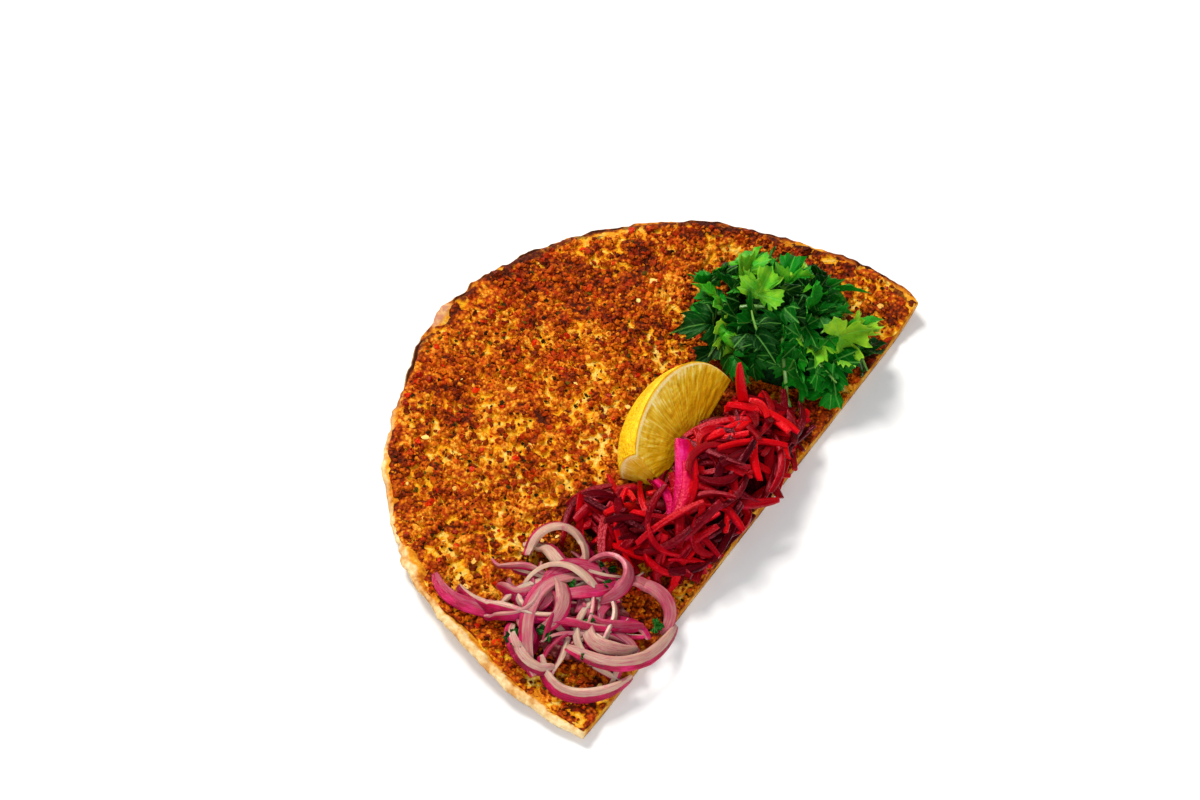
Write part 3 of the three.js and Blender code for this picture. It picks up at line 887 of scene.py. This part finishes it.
def meat_bits():
    def on_meat(x, y, chance):
        return (meat(x, y)["cover"] > 0.7) & (chance < 0.25 + 0.75 * noise(x / 11, y / 11))

    def on_oil(x, y, chance):
        return (meat(x, y)["cover"] < 0.5) & (chance < 0.9)

    def anywhere(x, y, chance):
        return chance < noise(x / 19 + 3, y / 19 + 77) + 0.2

    crumb = crumb_finish()
    pepper = bit_finish("red pepper", (124, 8, 0), (196, 36, 0), 0.35)
    herb = bit_finish("baked herbs", (30, 18, 0), (84, 66, 8), 0.7)
    char = bit_finish("char", (12, 4, 0), (48, 18, 6), 0.7)
    onion = bit_finish("baked onion", (208, 136, 30), (236, 200, 110), 0.4)
    # Each with its seed, number, widths, height and depth as shares of the width, and where it lies.
    for kind in (
        ("meat_crumbs", crumb, 11, 2300, (1.1, 2.7), 0.75, 0.5, on_meat),
        ("meat_grains", crumb, 17, 2400, (0.7, 1.5), 0.8, 0.45, on_meat),
        ("lone_crumbs", crumb, 12, 700, (0.9, 2.3), 0.7, 0.35, on_oil),
        ("pepper_bits", pepper, 13, 170, (1.0, 3.2), 0.45, 0.3, anywhere),
        ("herb_flecks", herb, 14, 300, (0.8, 2.2), 0.3, 0.1, anywhere),
        ("char_specks", char, 15, 480, (0.5, 1.5), 0.6, 0.2, anywhere),
        ("onion_bits", onion, 16, 60, (1.2, 2.8), 0.3, 0.1, anywhere),
    ):
        bits(*kind)


# --- Strips: shreds, slices and stems ---


def edit_long_edges(thing, step):
    """Runs an edit-mode step on the edges that run along a bar."""
    bpy.ops.object.mode_set(mode="EDIT")
    bpy.ops.mesh.select_mode(type="EDGE")
    bpy.ops.mesh.select_all(action="DESELECT")
    bpy.ops.object.mode_set(mode="OBJECT")
    corners = corners_of(thing)
    for edge in thing.data.edges:
        a, b = corners[edge.vertices[0]], corners[edge.vertices[1]]
        edge.select = bool(abs(a[1] - b[1]) > 1)
    bpy.ops.object.mode_set(mode="EDIT")
    step()
    bpy.ops.object.mode_set(mode="OBJECT")


def stick_pattern(rows, bevel):
    """A bar with bevelled edges, as (across, along, up), with rows steps along it. Along goes from
    0 to 1, and the others go to 1 each way."""
    deselect()
    bpy.ops.mesh.primitive_cube_add(size=2, calc_uvs=False)
    thing = bpy.context.object
    edit_long_edges(thing, lambda: bpy.ops.mesh.bevel(offset=bevel, segments=2, affect="EDGES"))
    edit_long_edges(
        thing, lambda: bpy.ops.mesh.subdivide(number_cuts=rows - 1, quadcorner="INNERVERT")
    )
    corners, faces = pattern()
    corners[:, 1] = (corners[:, 1] + 1) / 2
    return corners, faces


def bar(stick, line, side, half_width, half_thickness, ends, curl=0):
    """The corners of stick laid along a line, its width along side, narrowed towards both ends."""
    across, t, up = stick.T
    step = 0.01
    ahead = line(np.minimum(t + step, 1)) - line(np.maximum(t - step, 0))
    sideways = side(t)
    over = unit(np.cross(sideways, ahead))
    narrow = ends + (1 - ends) * np.abs(np.sin(math.pi * t)) ** 0.6
    lifted = up * half_thickness * narrow + curl * (across**2 - 0.4) * half_width * narrow
    return line(t) + sideways * (across * half_width * narrow)[:, None] + over * lifted[:, None]


def shred(
    stick, middle, heading, pitch, length, half_width, bend, twist, half_thickness, curl=0, ends=0.6,
):
    """A strip that bows sideways by bend and doesn't reach under the meat."""
    flat = math.cos(pitch)
    along = np.array((math.cos(heading) * flat, math.sin(heading) * flat, math.sin(pitch)))
    across = np.array((-math.sin(heading), math.cos(heading), 0))

    def line(t):
        bow = bend * (1 - (2 * t - 1) ** 2)
        points = middle + along * ((t - 0.5) * length)[:, None] + across * bow[:, None]
        points[:, 2] = np.maximum(points[:, 2], seat(*points.T[:2]) + half_thickness)
        return points

    def side(t):
        angle = (twist * (t - 0.5))[:, None]
        return across * np.cos(angle) + np.cross(along, across) * np.sin(angle)

    return bar(stick, line, side, half_width, half_thickness, ends, curl)


def dome(name, heap, material, slot, low_y=-HALF_CUT, high_y=HALF_CUT):
    """A heap's own lumpy core, flat where it rests, and from low_y to high_y at most."""
    deselect()
    bpy.ops.mesh.primitive_uv_sphere_add(segments=64, ring_count=32, radius=1, calc_uvs=False)
    thing = bpy.context.object
    x, y, z = corners_of(thing).T
    (at_x, at_y), (across, along) = heap["at"], heap["radii"]
    lumpy = 1 + 0.07 * np.sin(5 * x + at_y) * np.cos(4 * y + at_x)
    lumpy = heap["core"] * (lumpy + 0.12 * (noise(x * across / 3, y * along / 3) - 0.6))
    base = seat(at_x, at_y) - 0.5
    x, y = at_x + across * lumpy * x, np.clip(at_y + along * lumpy * y, low_y, high_y)
    shaped(thing, xyz(x, y, np.maximum(base + heap["height"] * lumpy * z, seat(x, y) - 0.4)))
    return placed(thing, name, material, slot)


def core_finish(name, size, relief, roughness, gloss, *stops):
    """The lumpy finish of a core, painted dark as shade, which shows only between the things that lie
    on it.
    """
    skin = Finish(name, gloss, Roughness=roughness)
    lumpy = skin.noise(size, 4)
    return skin.done(skin.ramp(lumpy, *stops), height=lumpy, relief=relief)


# --- Red cabbage ---

# How shreds are drawn, for those of the solid and for loose ones between them: how far they rise
# over the heap, how much they lean with it, and the limits of length, half width, bend, twist,
# half thickness, curl and width at the ends, as far as these aren't fixed.
SOLID_SHREDS = {
    "rise": (-0.6, 1.2), "lean": 0.75, "fixed": (STRIP_HALF_THICKNESS, 0.2),
    "limits": (STRIP_LENGTH, STRIP_HALF_WIDTH, (-4, 4), (-1.2, 1.2)),
}
LOOSE_SHREDS = {
    "rise": (-3.5, 2.2), "lean": 0.8, "fixed": (),
    "limits": ((15, 29), (1.0, 1.8), (-6, 6), (-2, 2), (0.5, 0.9), (-0.25, 0.25), (0.55, 0.85)),
}
SKIRT_LIMITS = ((13, 24), (1.1, 1.9), (-3, 3), (-1.5, 1.5), (0.6, 0.9), (-0.2, 0.2), (0.55, 0.85))
LOOSE_COUNT = 110
LOOSE_SIDE_COUNT = 30
SKIRT_COUNT = 34
SHRED_PAST_CUT = 4  # millimetres that a loose shred may reach past the cut


def cabbage_finish():
    skin = Finish("pickled red cabbage", 0.4, (255, 100, 120))
    tone, pink, rib, deep = skin.attributes("tone pink rib deep")
    cloud, fine = skin.noise(5), skin.noise(0.8)
    streak = skin.streaks("rib along", 1.6, 1)
    colour = skin.ramp(
        tone + 0.25 * (cloud - 0.5) + 0.7 * (streak - 0.5),
        (0.05, 46, 0, 5), (0.3, 90, 0, 8), (0.6, 136, 0, 10), (0.9, 194, 2, 10),
    )
    pale = abs(rib).rise(0.8, 1.1) * cloud.rise(0.52, 0.66)
    colour = skin.mix(colour, (200, 20, 64), 0.45 * pale)
    magenta = skin.ramp(
        streak + 0.5 * (cloud - 0.5), (0.3, 150, 0, 40), (0.5, 182, 0, 76), (0.75, 206, 50, 124),
    )
    side = (rib + 1.2 * (cloud - 0.5) + 0.8 * (streak - 0.5)).rise(0.6, 0.1)
    colour = skin.mix(colour, magenta, pink * side)
    # Painted shade: shreds darken towards near black the deeper they lie in the heap.
    colour = skin.mix(colour, (24, 0, 3), 0.92 * deep)
    return skin.done(colour, 0.14 + 0.25 * cloud, fine + streak, 0.25)


def heap_shreds(stick, heap, count, seed, kind):
    """Shreds all over a heap, each with its middle."""
    roll = dice(seed)
    for middle, outward, share in over_heap(heap, count, roll):
        heading = roll(0, math.pi)
        middle[2] += roll(*kind["rise"])
        pitch = -kind["lean"] * share * math.cos(heading - outward) + roll(-0.25, 0.25)
        sizes = [roll(*limits) for limits in kind["limits"]]
        yield middle, shred(stick, middle, heading, pitch, *sizes, *kind["fixed"])


def clear(middle, points):
    """Whether a loose shred is clear of the cut and doesn't lie over the broad shred."""
    (x, y, z), (broad_x, broad_y, _) = middle, BROAD_SHRED["at"]
    near = math.hypot(x - broad_x, y - broad_y) < BROAD_CLEARANCE
    return points[:, 0].max() < SHRED_PAST_CUT and not (near and z > heap_top(CABBAGE, x, y) - 1.5)


def skirt_shreds(stick, count, roll):
    """Shreds low on the side of the heap that faces the cut, along its foot."""
    across, along = CABBAGE["radii"]
    shapes = []
    while len(shapes) < count:
        outward, share = roll(-1.45, 1.45), roll(0.84, 1)
        x, y = spot_on(CABBAGE, outward, share)
        middle = np.array((x, y, float(seat(x, y)) + roll(0.4, 8)))
        heading = math.atan2(along * math.cos(outward), -across * math.sin(outward))
        heading, pitch = heading + roll(-0.8, 0.8), roll(-0.3, 0.3)
        sizes = [roll(*limits) for limits in SKIRT_LIMITS]
        points = shred(stick, middle, heading, pitch, *sizes)
        if points[:, 0].max() < SHRED_PAST_CUT:
            shapes.append(points)
    return shapes


def named_shred(stick, at, heading, pitch, **shape):
    x, y, over = at
    return shred(
        stick, np.array((x, y, float(heap_top(CABBAGE, x, y)) + over)), math.radians(heading),
        math.radians(pitch), half_thickness=STRIP_HALF_THICKNESS, curl=0.15, **shape,
    )


def cabbage():
    core = core_finish("cabbage in the shade", 2.2, 1, 0.9, 0.02, (0.35, 16, 0, 1), (0.65, 58, 0, 5))
    heap = dome("cabbage_core", CABBAGE, core, "red_cabbage", high_y=PARSLEY_BORDER - CORE_GAP / 2)
    side = dome(
        "cabbage_side_core", CABBAGE_SIDE, core, "red_cabbage", low_y=ONION_BORDER + CORE_GAP / 2,
    )
    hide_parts("cabbage_shreds")
    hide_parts("cabbage_shreds")
    stick, faces = stick_pattern(14, 0.35)
    shapes = []
    for heap, count, seed in ((CABBAGE, CABBAGE_STRIPS, 7), (CABBAGE_SIDE, CABBAGE_SIDE_STRIPS, 19)):
        shapes += [points for _, points in heap_shreds(stick, heap, count, seed, SOLID_SHREDS)]
    for heap, count, seed in ((CABBAGE, LOOSE_COUNT, 29), (CABBAGE_SIDE, LOOSE_SIDE_COUNT, 31)):
        loose = heap_shreds(stick, heap, count, seed, LOOSE_SHREDS)
        shapes += [points for middle, points in loose if clear(middle, points)]
    shapes += skirt_shreds(stick, SKIRT_COUNT, dice(53))
    look = {"rib": stick[:, 0], "along": 2 * stick[:, 1], "pink": 0, "deep": 0}
    roll = dice(3)
    copies = []
    for points in shapes:
        along = look["along"] + roll(0, 90)
        # How deep each shred lies in either heap, for its painted shade.
        deep = np.minimum(shade_in(CABBAGE, points), shade_in(CABBAGE_SIDE, points))
        copies.append((points, {**look, "along": along, "tone": roll(0.05, 0.95), "deep": deep}))
    standing = named_shred(stick, **STANDING_SHRED)
    copies.append((standing, {**look, "tone": 0.9}))
    broad = named_shred(stick, **BROAD_SHRED)
    copies.append((broad, {**look, "tone": 0.8, "pink": 1}))
    x, y, over = BROAD_SHRED["at"]
    for ahead, aside, turn, length, half_width, pink in BESIDE_BROAD:
        beside = named_shred(stick, **{
            **BROAD_SHRED, "at": (x + aside, y + ahead, over - BESIDE_BROAD_SINK), "ends": 0.7,
            "heading": BROAD_SHRED["heading"] + turn, "length": length, "half_width": half_width,
        })
        copies.append((beside, {**look, "tone": 0.75, "pink": pink}))
    piece = scattered("cabbage_strips", faces, copies, cabbage_finish(), "red_cabbage", angle=50)
    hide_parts("cabbage_shreds")


# --- Onion ---

LOOSE_SLICES = 44
SLICE_PAST_CUT = 3  # millimetres that a loose slice may reach past the cut
SLICE_TOWARDS_CABBAGE = -44
SLICE_TOWARDS_RIM = 0.92  # as a share of the radius


def onion_finish():
    skin = Finish(
        "raw red onion", 0.4, (255, 190, 205), Subsurface_Weight=0.3, Subsurface_Scale=0.004,
    )
    across, blush, tone = skin.attributes("across blush tone")
    cloud, fine = skin.noise(7), skin.noise(0.9)
    streak, hair = skin.streaks("across along", 3.2, 1), skin.streaks("across along", 9, 1.6)
    flesh = skin.ramp(
        tone + 0.5 * (cloud - 0.5) + 0.9 * (streak - 0.5),
        (0.1, 190, 162, 138), (0.38, 176, 132, 118), (0.66, 164, 78, 90), (0.92, 154, 12, 60),
    )
    flesh = skin.mix(flesh, (176, 40, 104), 0.6 * hair.rise(0.54, 0.64))
    skin_side = skin.ramp(
        cloud + 0.8 * (hair - 0.5), (0.3, 112, 0, 34), (0.55, 168, 0, 62), (0.8, 202, 34, 104),
    )
    stain = (across + 1.3 * blush + 0.6 * (streak - 0.5) + 0.3 * (cloud - 0.5)).rise(1.12, 1.3)
    colour = skin.mix(flesh, skin_side, stain)
    return skin.done(colour, 0.2 + 0.25 * cloud, streak + hair + 0.4 * fine, 0.3)


def onion_slice(
    stick, at, radius, start, sweep, rise, lean, half_width, half_thickness, wobble, twist,
):
    """A bent slice that follows an arc over the heap."""

    def outward(t):
        angle = np.radians(start + sweep * t)
        return xyz(np.cos(angle), np.sin(angle), 0)

    def line(t):
        reach = radius * (1 + wobble * np.sin(7 * t + start))
        points = outward(t) * reach[:, None] + (*at, 0)
        base = heap_top(ONION, *points.T[:2])
        points[:, 2] = base + RING_OVER_HEAP + rise * np.sin(math.pi * t)
        return points

    def side(t):
        tilt = math.radians(lean) + twist * (t - 0.5)
        return outward(t) * np.cos(tilt)[:, None] - xyz(0, 0, np.sin(tilt))

    uneven = 1 + 0.12 * np.sin(9 * stick[:, 1] + start) * stick[:, 0]
    return bar(stick * xyz(uneven, 1, 1), line, side, half_width, half_thickness, 0.45, -0.12)


def loose_slices(stick, count, roll):
    """Thinner slices between those of the solid, each with how far its streaks run."""
    slices = []
    while len(slices) < count:
        outward, share = roll(0, 2 * math.pi), math.sqrt(roll(0, 0.5))
        radius, start, sweep = roll(9, 24), roll(0, 360), roll(60, 150)
        towards = math.radians(start + sweep / 2)
        x, y = spot_on(ONION, outward, share)
        at = (x - radius * math.cos(towards), y - radius * math.sin(towards))
        points = onion_slice(
            stick, at, radius, start, sweep, roll(-3, 3.5), roll(0, 65), roll(1.1, 2.6),
            roll(0.4, 0.8), roll(0.02, 0.1), roll(-1.2, 1.2),
        )
        x, y, _ = points.max(axis=0)
        reach = polar(*points.T[:2])[0].max()
        if x < SLICE_PAST_CUT and y < SLICE_TOWARDS_CABBAGE and reach < SLICE_TOWARDS_RIM:
            slices.append((points, radius * sweep / 600))
    return slices


def onions():
    core = core_finish(
        "onion in the shade", 3.4, 2, 0.6, 0.1,
        (0.36, 54, 10, 8), (0.5, 112, 34, 34), (0.66, 176, 110, 104),
    )
    heap = dome("onion_core", ONION, core, "red_onion", high_y=ONION_BORDER - CORE_GAP / 2)
    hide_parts("onion_slices")
    stick, faces = stick_pattern(26, 0.2)
    roll = dice(43)
    copies = []

    def add(points, streaks, first, blush, tone):
        along = streaks * stick[:, 1] + first
        look = {"across": stick[:, 0], "along": along, "blush": blush, "tone": tone}
        copies.append((points, look))

    for *arc, blush in ONION_ARCS:
        points = onion_slice(
            stick, *arc, RING_HALF_WIDTH, RING_HALF_THICKNESS, RING_WOBBLE, RING_TWIST,
        )
        add(points, 4, roll(0, 90), blush, roll(0.1, 0.8))
    for points, streaks in loose_slices(stick, LOOSE_SLICES, roll):
        add(points, streaks, roll(0, 90), roll(0.2, 1.4), roll(0, 0.9))
    piece = scattered("onion_half_rings", faces, copies, onion_finish(), "red_onion", angle=50)
    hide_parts("onion_slices")


# --- Parsley ---

LEAF_THICKNESS = 0.35
LEAF_OVER_MEAT = 0.2
LOOSE_LEAVES = 40
LOOSE_STEMS = 9
ONION_HERBS = 9
HERB_OVER_ONION = 1.6


def leaf_pattern():
    """A thin flat leaf whose tip lies at (1, 0): toothed lobes with notches between them."""
    deselect()
    bpy.ops.mesh.primitive_circle_add(vertices=90, radius=1, fill_type="TRIFAN", calc_uvs=False)
    edit(lambda: bpy.ops.mesh.subdivide(number_cuts=2))
    thing = bpy.context.object
    x, y, z = corners_of(thing).T
    angle, share = np.degrees(np.arctan2(y, x)), np.hypot(x, y)
    notch_at = SIDE_LOBE_ANGLE / 2
    lobe = np.where(abs(angle) < notch_at, 1, SIDE_LOBE) * (1 - 0.44 * peak(abs(angle), notch_at, 5))
    wander = 0.07 * np.sin(np.radians(angle * 5 + 70)) + 0.04 * np.sin(np.radians(angle * 11))
    for depth, width in ((0.09, 13), (0.07, 6.5)):
        wander = wander - depth * abs(np.sin(np.radians(angle * 90 / width)))
    back = smooth(138, 112, abs(angle))
    reach = lobe * (1 + wander) * back + 0.14 * (1 - back)
    shaped(thing, xyz(x * reach, y * reach, z))
    solid = thing.modifiers.new("thickness", "SOLIDIFY")
    solid.thickness, solid.offset = 1, 0
    bpy.ops.object.modifier_apply(modifier=solid.name)
    return pattern()


def leaf(shape, reach, cup, crease):
    """The corners of a leaf that is cupped, creased along its veins and raised at its sides."""
    x, y, z = shape.T
    wave = cup * (x * x + y * y - 0.25) + 0.07 * np.sin(5 * y + 3 * x) + 0.05 * np.sin(9 * x - 4 * y)
    fold = -crease * peak(np.minimum(abs(y), 0.6 + abs(x)), 0, 0.12)
    sides = 2.6 * crease * abs(y)
    return xyz(reach * x, reach * y, reach * (wave + fold + sides) + LEAF_THICKNESS * z)


def leaf_look(shape, tone, deep):
    return {"tone": tone, "along": shape[:, 0], "aside": shape[:, 1], "deep": deep}


def parsley_finish():
    skin = Finish(
        "parsley leaf", 0.16, (160, 255, 140), Subsurface_Weight=0.1, Subsurface_Scale=0.002,
    )
    tone, along, aside, deep = skin.attributes("tone along aside deep")
    cloud, fine = skin.noise(4), skin.noise(0.8)
    colour = skin.ramp(
        tone + 0.3 * (cloud - 0.5),
        (0.05, 0, 36, 4), (0.32, 0, 74, 8), (0.6, 10, 116, 18), (0.82, 50, 148, 22),
        (1, 140, 188, 40),
    )
    lobe = math.radians(SIDE_LOBE_ANGLE)
    right = abs(along * math.sin(lobe) - aside * math.cos(lobe))
    left = abs(along * math.sin(lobe) + aside * math.cos(lobe))
    nearest = skin.maths("MINIMUM", abs(aside), skin.maths("MINIMUM", right, left))
    vein = nearest.rise(0.035, 0.008)
    ribs = skin.maths("SINE", (abs(aside) * 1.3 - along) * 22).rise(0.8, 1)
    colour = skin.mix(colour, (120, 196, 84), 0.3 * vein + 0.06 * ribs)
    # Painted shade: leaves darken the deeper they lie in the heap.
    colour = skin.mix(colour, (0, 20, 4), 0.85 * deep)
    return skin.done(colour, 0.3 + 0.2 * fine, fine * 0.6 - 0.4 * vein - 0.15 * ribs, 0.25)


def parsley():
    core = core_finish("parsley in the shade", 2.4, 1.5, 0.8, 0.1, (0.36, 0, 16, 4), (0.62, 2, 46, 8))
    heap = dome("parsley_core", PARSLEY, core, "parsley_leaf", low_y=PARSLEY_BORDER + CORE_GAP / 2)
    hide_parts("parsley")
    shape, faces = leaf_pattern()
    material = parsley_finish()
    shade = dice(71)
    copies = []

    def add(reach, cup, angles, middle, crease=0.08):
        points = turned(leaf(shape, reach, cup, crease), *angles) + middle
        lowest = seat(*points.T[:2]) + LEAF_OVER_MEAT * (1.5 + shape[:, 2])
        points[:, 2] = np.maximum(points[:, 2], lowest)
        look = leaf_look(shape, shade(0, 1) ** 1.3, shade_in(PARSLEY, points))
        copies.append((points, look))

    roll = dice(23)
    for middle, outward, share in over_heap(PARSLEY, PARSLEY_LEAVES, roll):
        reach = roll(*LEAF_REACH)
        heading = outward + roll(-1.1, 1.1)
        droop = 0.1 + 0.6 * share + roll(-0.4, 0.15)
        tilt = roll(-0.5, 0.5)
        cup = 1.7 * roll(-0.35, 0.25)
        add(reach, cup, (tilt, droop, heading), middle + (0, 0, roll(-0.3, 2.5)))
    roll = dice(83)
    for middle, outward, share in over_heap(PARSLEY, LOOSE_LEAVES, roll):
        over = middle + (0, 0, roll(-2.5, 5))
        droop = 0.6 * share + roll(-1.2, 0.5)
        reach, cup = roll(8, 13), roll(-1, 0.8)
        add(reach, cup, (roll(-1.3, 1.3), droop, outward + roll(-2, 2)), over, 0.16)
    piece = scattered("parsley_leaves", faces, copies, material, "parsley_leaf", angle=50)
    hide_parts("parsley")
    herbs_among_onions(shape, faces, material)
    stems()


def herbs_among_onions(shape, faces, material):
    roll = dice(37)
    copies = []
    for middle, _, _ in over_heap(ONION, ONION_HERBS, roll):
        points = leaf(shape, roll(3, 5.2), roll(-0.5, 0.5), 0.1)
        points = turned(points, roll(-0.5, 0.5), roll(-0.5, 0.5), roll(0, 6))
        points = points + middle + (0, 0, HERB_OVER_ONION)
        # A little painted shade, as they lie among the onion slices.
        copies.append((points, leaf_look(shape, roll(0, 0.25), 0.2)))
    scattered("herbs_on_onion", faces, copies, material, "parsley_leaf")


def stem(stick, angle, length):
    """A stem that leaves the heap at an angle and bends on its way."""
    outward = xyz(math.cos(angle), math.sin(angle), 0)
    across = np.cross((0, 0, 1), outward)

    def line(t):
        ahead, aside = STEM_FROM + length * t, STEM_BEND * t * t
        points = outward * ahead[:, None] + across * aside[:, None]
        points = points + (*PARSLEY["at"], 0)
        points[:, 2] = heap_top(PARSLEY, *points.T[:2]) + STEM_HALF_WIDTH / 2
        return points

    return bar(stick, line, lambda t: across, STEM_HALF_WIDTH, STEM_HALF_WIDTH, 0.7)


def stems():
    skin = Finish("parsley stem", Coat_Weight=0.2)
    cloud = skin.noise(3)
    colour = skin.ramp(cloud, (0.35, 62, 128, 34), (0.65, 124, 172, 66))
    material = skin.done(colour, 0.35 + 0.2 * cloud, cloud, 0.2)
    stick, faces = stick_pattern(12, 0.55)
    roll = dice(61)
    shapes = [stem(stick, math.radians(angle), roll(*STEM_LENGTH)) for angle in STEM_ANGLES]
    for middle, outward, share in over_heap(PARSLEY, LOOSE_STEMS, roll):
        heading = outward + roll(-1.2, 1.2)
        shapes.append(shred(
            stick, middle + (0, 0, roll(1, 4)), heading, -0.5 * share + roll(-0.2, 0.3),
            roll(14, 26), 0.5, roll(-5, 5), 0, 0.45,
        ))
    copies = [(points, {}) for points in shapes]
    scattered("parsley_stems", faces, copies, material, "parsley_leaf", angle=60)


# --- Lemon ---

FLESH_TO = 0.91  # share of the radius
RIND_FROM = 0.96
LEMON_CUTS = 59


def lemon_finish():
    skin = Finish("lemon", 0.4, (255, 230, 150), Subsurface_Weight=0.3, Subsurface_Scale=0.004)
    share, face, fibre, end = skin.attributes("share face fibre end")
    threads = skin.streaks("fan far", 20, 0.16)
    cloud, fine = skin.noise(6), skin.noise(0.7)
    rind = skin.ramp(cloud, (0.3, 224, 166, 8), (0.55, 238, 190, 18), (0.75, 244, 208, 44))
    flesh = skin.ramp(
        0.2 * fibre + 1.7 * (threads - 0.5) + 0.6 * (cloud - 0.5) + 0.7 * (share - 0.55) + 0.3,
        (0.1, 196, 132, 0), (0.4, 220, 166, 14), (0.7, 236, 198, 64), (1, 250, 234, 164),
    )
    pith = skin.ramp(fine, (0.3, 238, 212, 112), (0.7, 250, 238, 184))
    inner = (share + 0.03 * (cloud - 0.5)).rise(FLESH_TO - 0.01, FLESH_TO + 0.02)
    ragged = end * (share + 0.3 * (cloud - 0.5) + 0.3 * (fine - 0.5)).rise(0.82, 1)
    cut = skin.mix(flesh, pith, skin.maths("MAXIMUM", inner, ragged))
    outer = share.rise(RIND_FROM - 0.01, RIND_FROM + 0.02)
    colour = skin.mix(rind, skin.mix(cut, rind, outer), face)
    dimple = skin.spots(1.5, "SMOOTH_F1").rise(0.05, 0.5)
    height = (1 - face) * dimple + face * (0.2 * fine + 0.8 * threads)
    return skin.done(colour, 0.3 + 0.2 * fine, height, 0.28)


def lemon():
    deselect()
    bpy.ops.mesh.primitive_cube_add(size=2, calc_uvs=False)
    thing = bpy.context.object
    edit(lambda: bpy.ops.mesh.subdivide(number_cuts=LEMON_CUTS))
    around, along, outward = (corners_of(thing).T + 1) / 2
    half = LEMON_LENGTH / 2
    start = math.acos((half - LEMON_TRIM) / half) / math.pi
    t = start + (1 - start) * along
    y = -half * np.cos(math.pi * t)
    radius = LEMON_RADIUS * np.abs(np.sin(math.pi * t)) ** 0.85
    angle = math.radians(LEMON_ANGLE) * around
    rind, blunt = outward > 0.999, along < 0.001
    cut_face = (around < 0.001) | (around > 0.999)
    reach = radius * outward
    reach = reach + np.where(rind, 0.25 * waver(y / 5, angle * 6) * radius / LEMON_RADIUS, 0)
    # The juice sacs of the cut flesh: long grains that fan out from the core to the rind.
    fan, far = np.arctan2(reach, y + 3), np.hypot(reach, y + 3)
    sac, sac_chance = lumps(fan * 17 + 0.8 * noise(far / 5, fan * 6), far / 8, 1, 9)
    fibre = cap(sac, 0.7) * (0.5 + 0.5 * sac_chance)
    inside = smooth(FLESH_TO + 0.02, FLESH_TO - 0.04, outward) * smooth(0, 0.08, outward)
    inside = inside * smooth(0, 0.05, 1 - along) * smooth(2, 9, far)
    push = np.where(cut_face & ~rind & ~blunt, inside * (0.45 * fibre - 0.35), 0)
    way = np.where(around > 0.5, push, -push)
    corners = xyz(
        way * np.sin(angle) - reach * np.cos(angle), y, way * np.cos(angle) + reach * np.sin(angle),
    )
    roll, turn = math.radians(LEMON_ROLL), math.radians(LEMON_TURN)
    over = float(seat(*LEMON_AT)) + LEMON_RADIUS * math.sin(roll)
    corners = turned(corners, 0, -roll, turn) + (*LEMON_AT, over)
    corners[:, 2] = np.maximum(corners[:, 2], seat(*corners.T[:2]))
    shaped(thing, corners)
    values = {
        "share": outward, "fibre": fibre, "end": np.where(blunt, 0.85, 0),
        "face": np.where((cut_face | blunt) & (outward < 0.9999), 1, 0),
        "fan": np.where(blunt, 1.6 * angle, fan), "far": np.where(blunt, reach, far),
    }
    piece = placed(thing, "lemon", lemon_finish(), "lemon", values, angle=40)
    edit(
        lambda: bpy.ops.mesh.remove_doubles(threshold=0.01 * MM),
        lambda: bpy.ops.mesh.normals_make_consistent(inside=False),
    )
    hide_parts("lemon_wedge")


# --- The scene ---


def floor():
    deselect()
    bpy.ops.mesh.primitive_plane_add(size=FLOOR_SIZE, location=(0, 0, -FLOOR_DROP))
    ground = bpy.context.object
    ground.name = "floor"
    skin = Finish("pale floor", Roughness=0.9)
    tones = skin.ramp(skin.noise(60), (0.3, 238.6, 238.6, 238.6), (0.7, 241, 241, 241))
    ground.data.materials.append(skin.done(tones))
    ground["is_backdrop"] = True


camera()
studio()
floor()
dough()
meat_layer()
meat_bits()
cabbage()
onions()
parsley()
lemon()

boxes = {"cad": cad_box, "visual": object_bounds()}
{name: [list(corner) for corner in box] for name, box in boxes.items()}
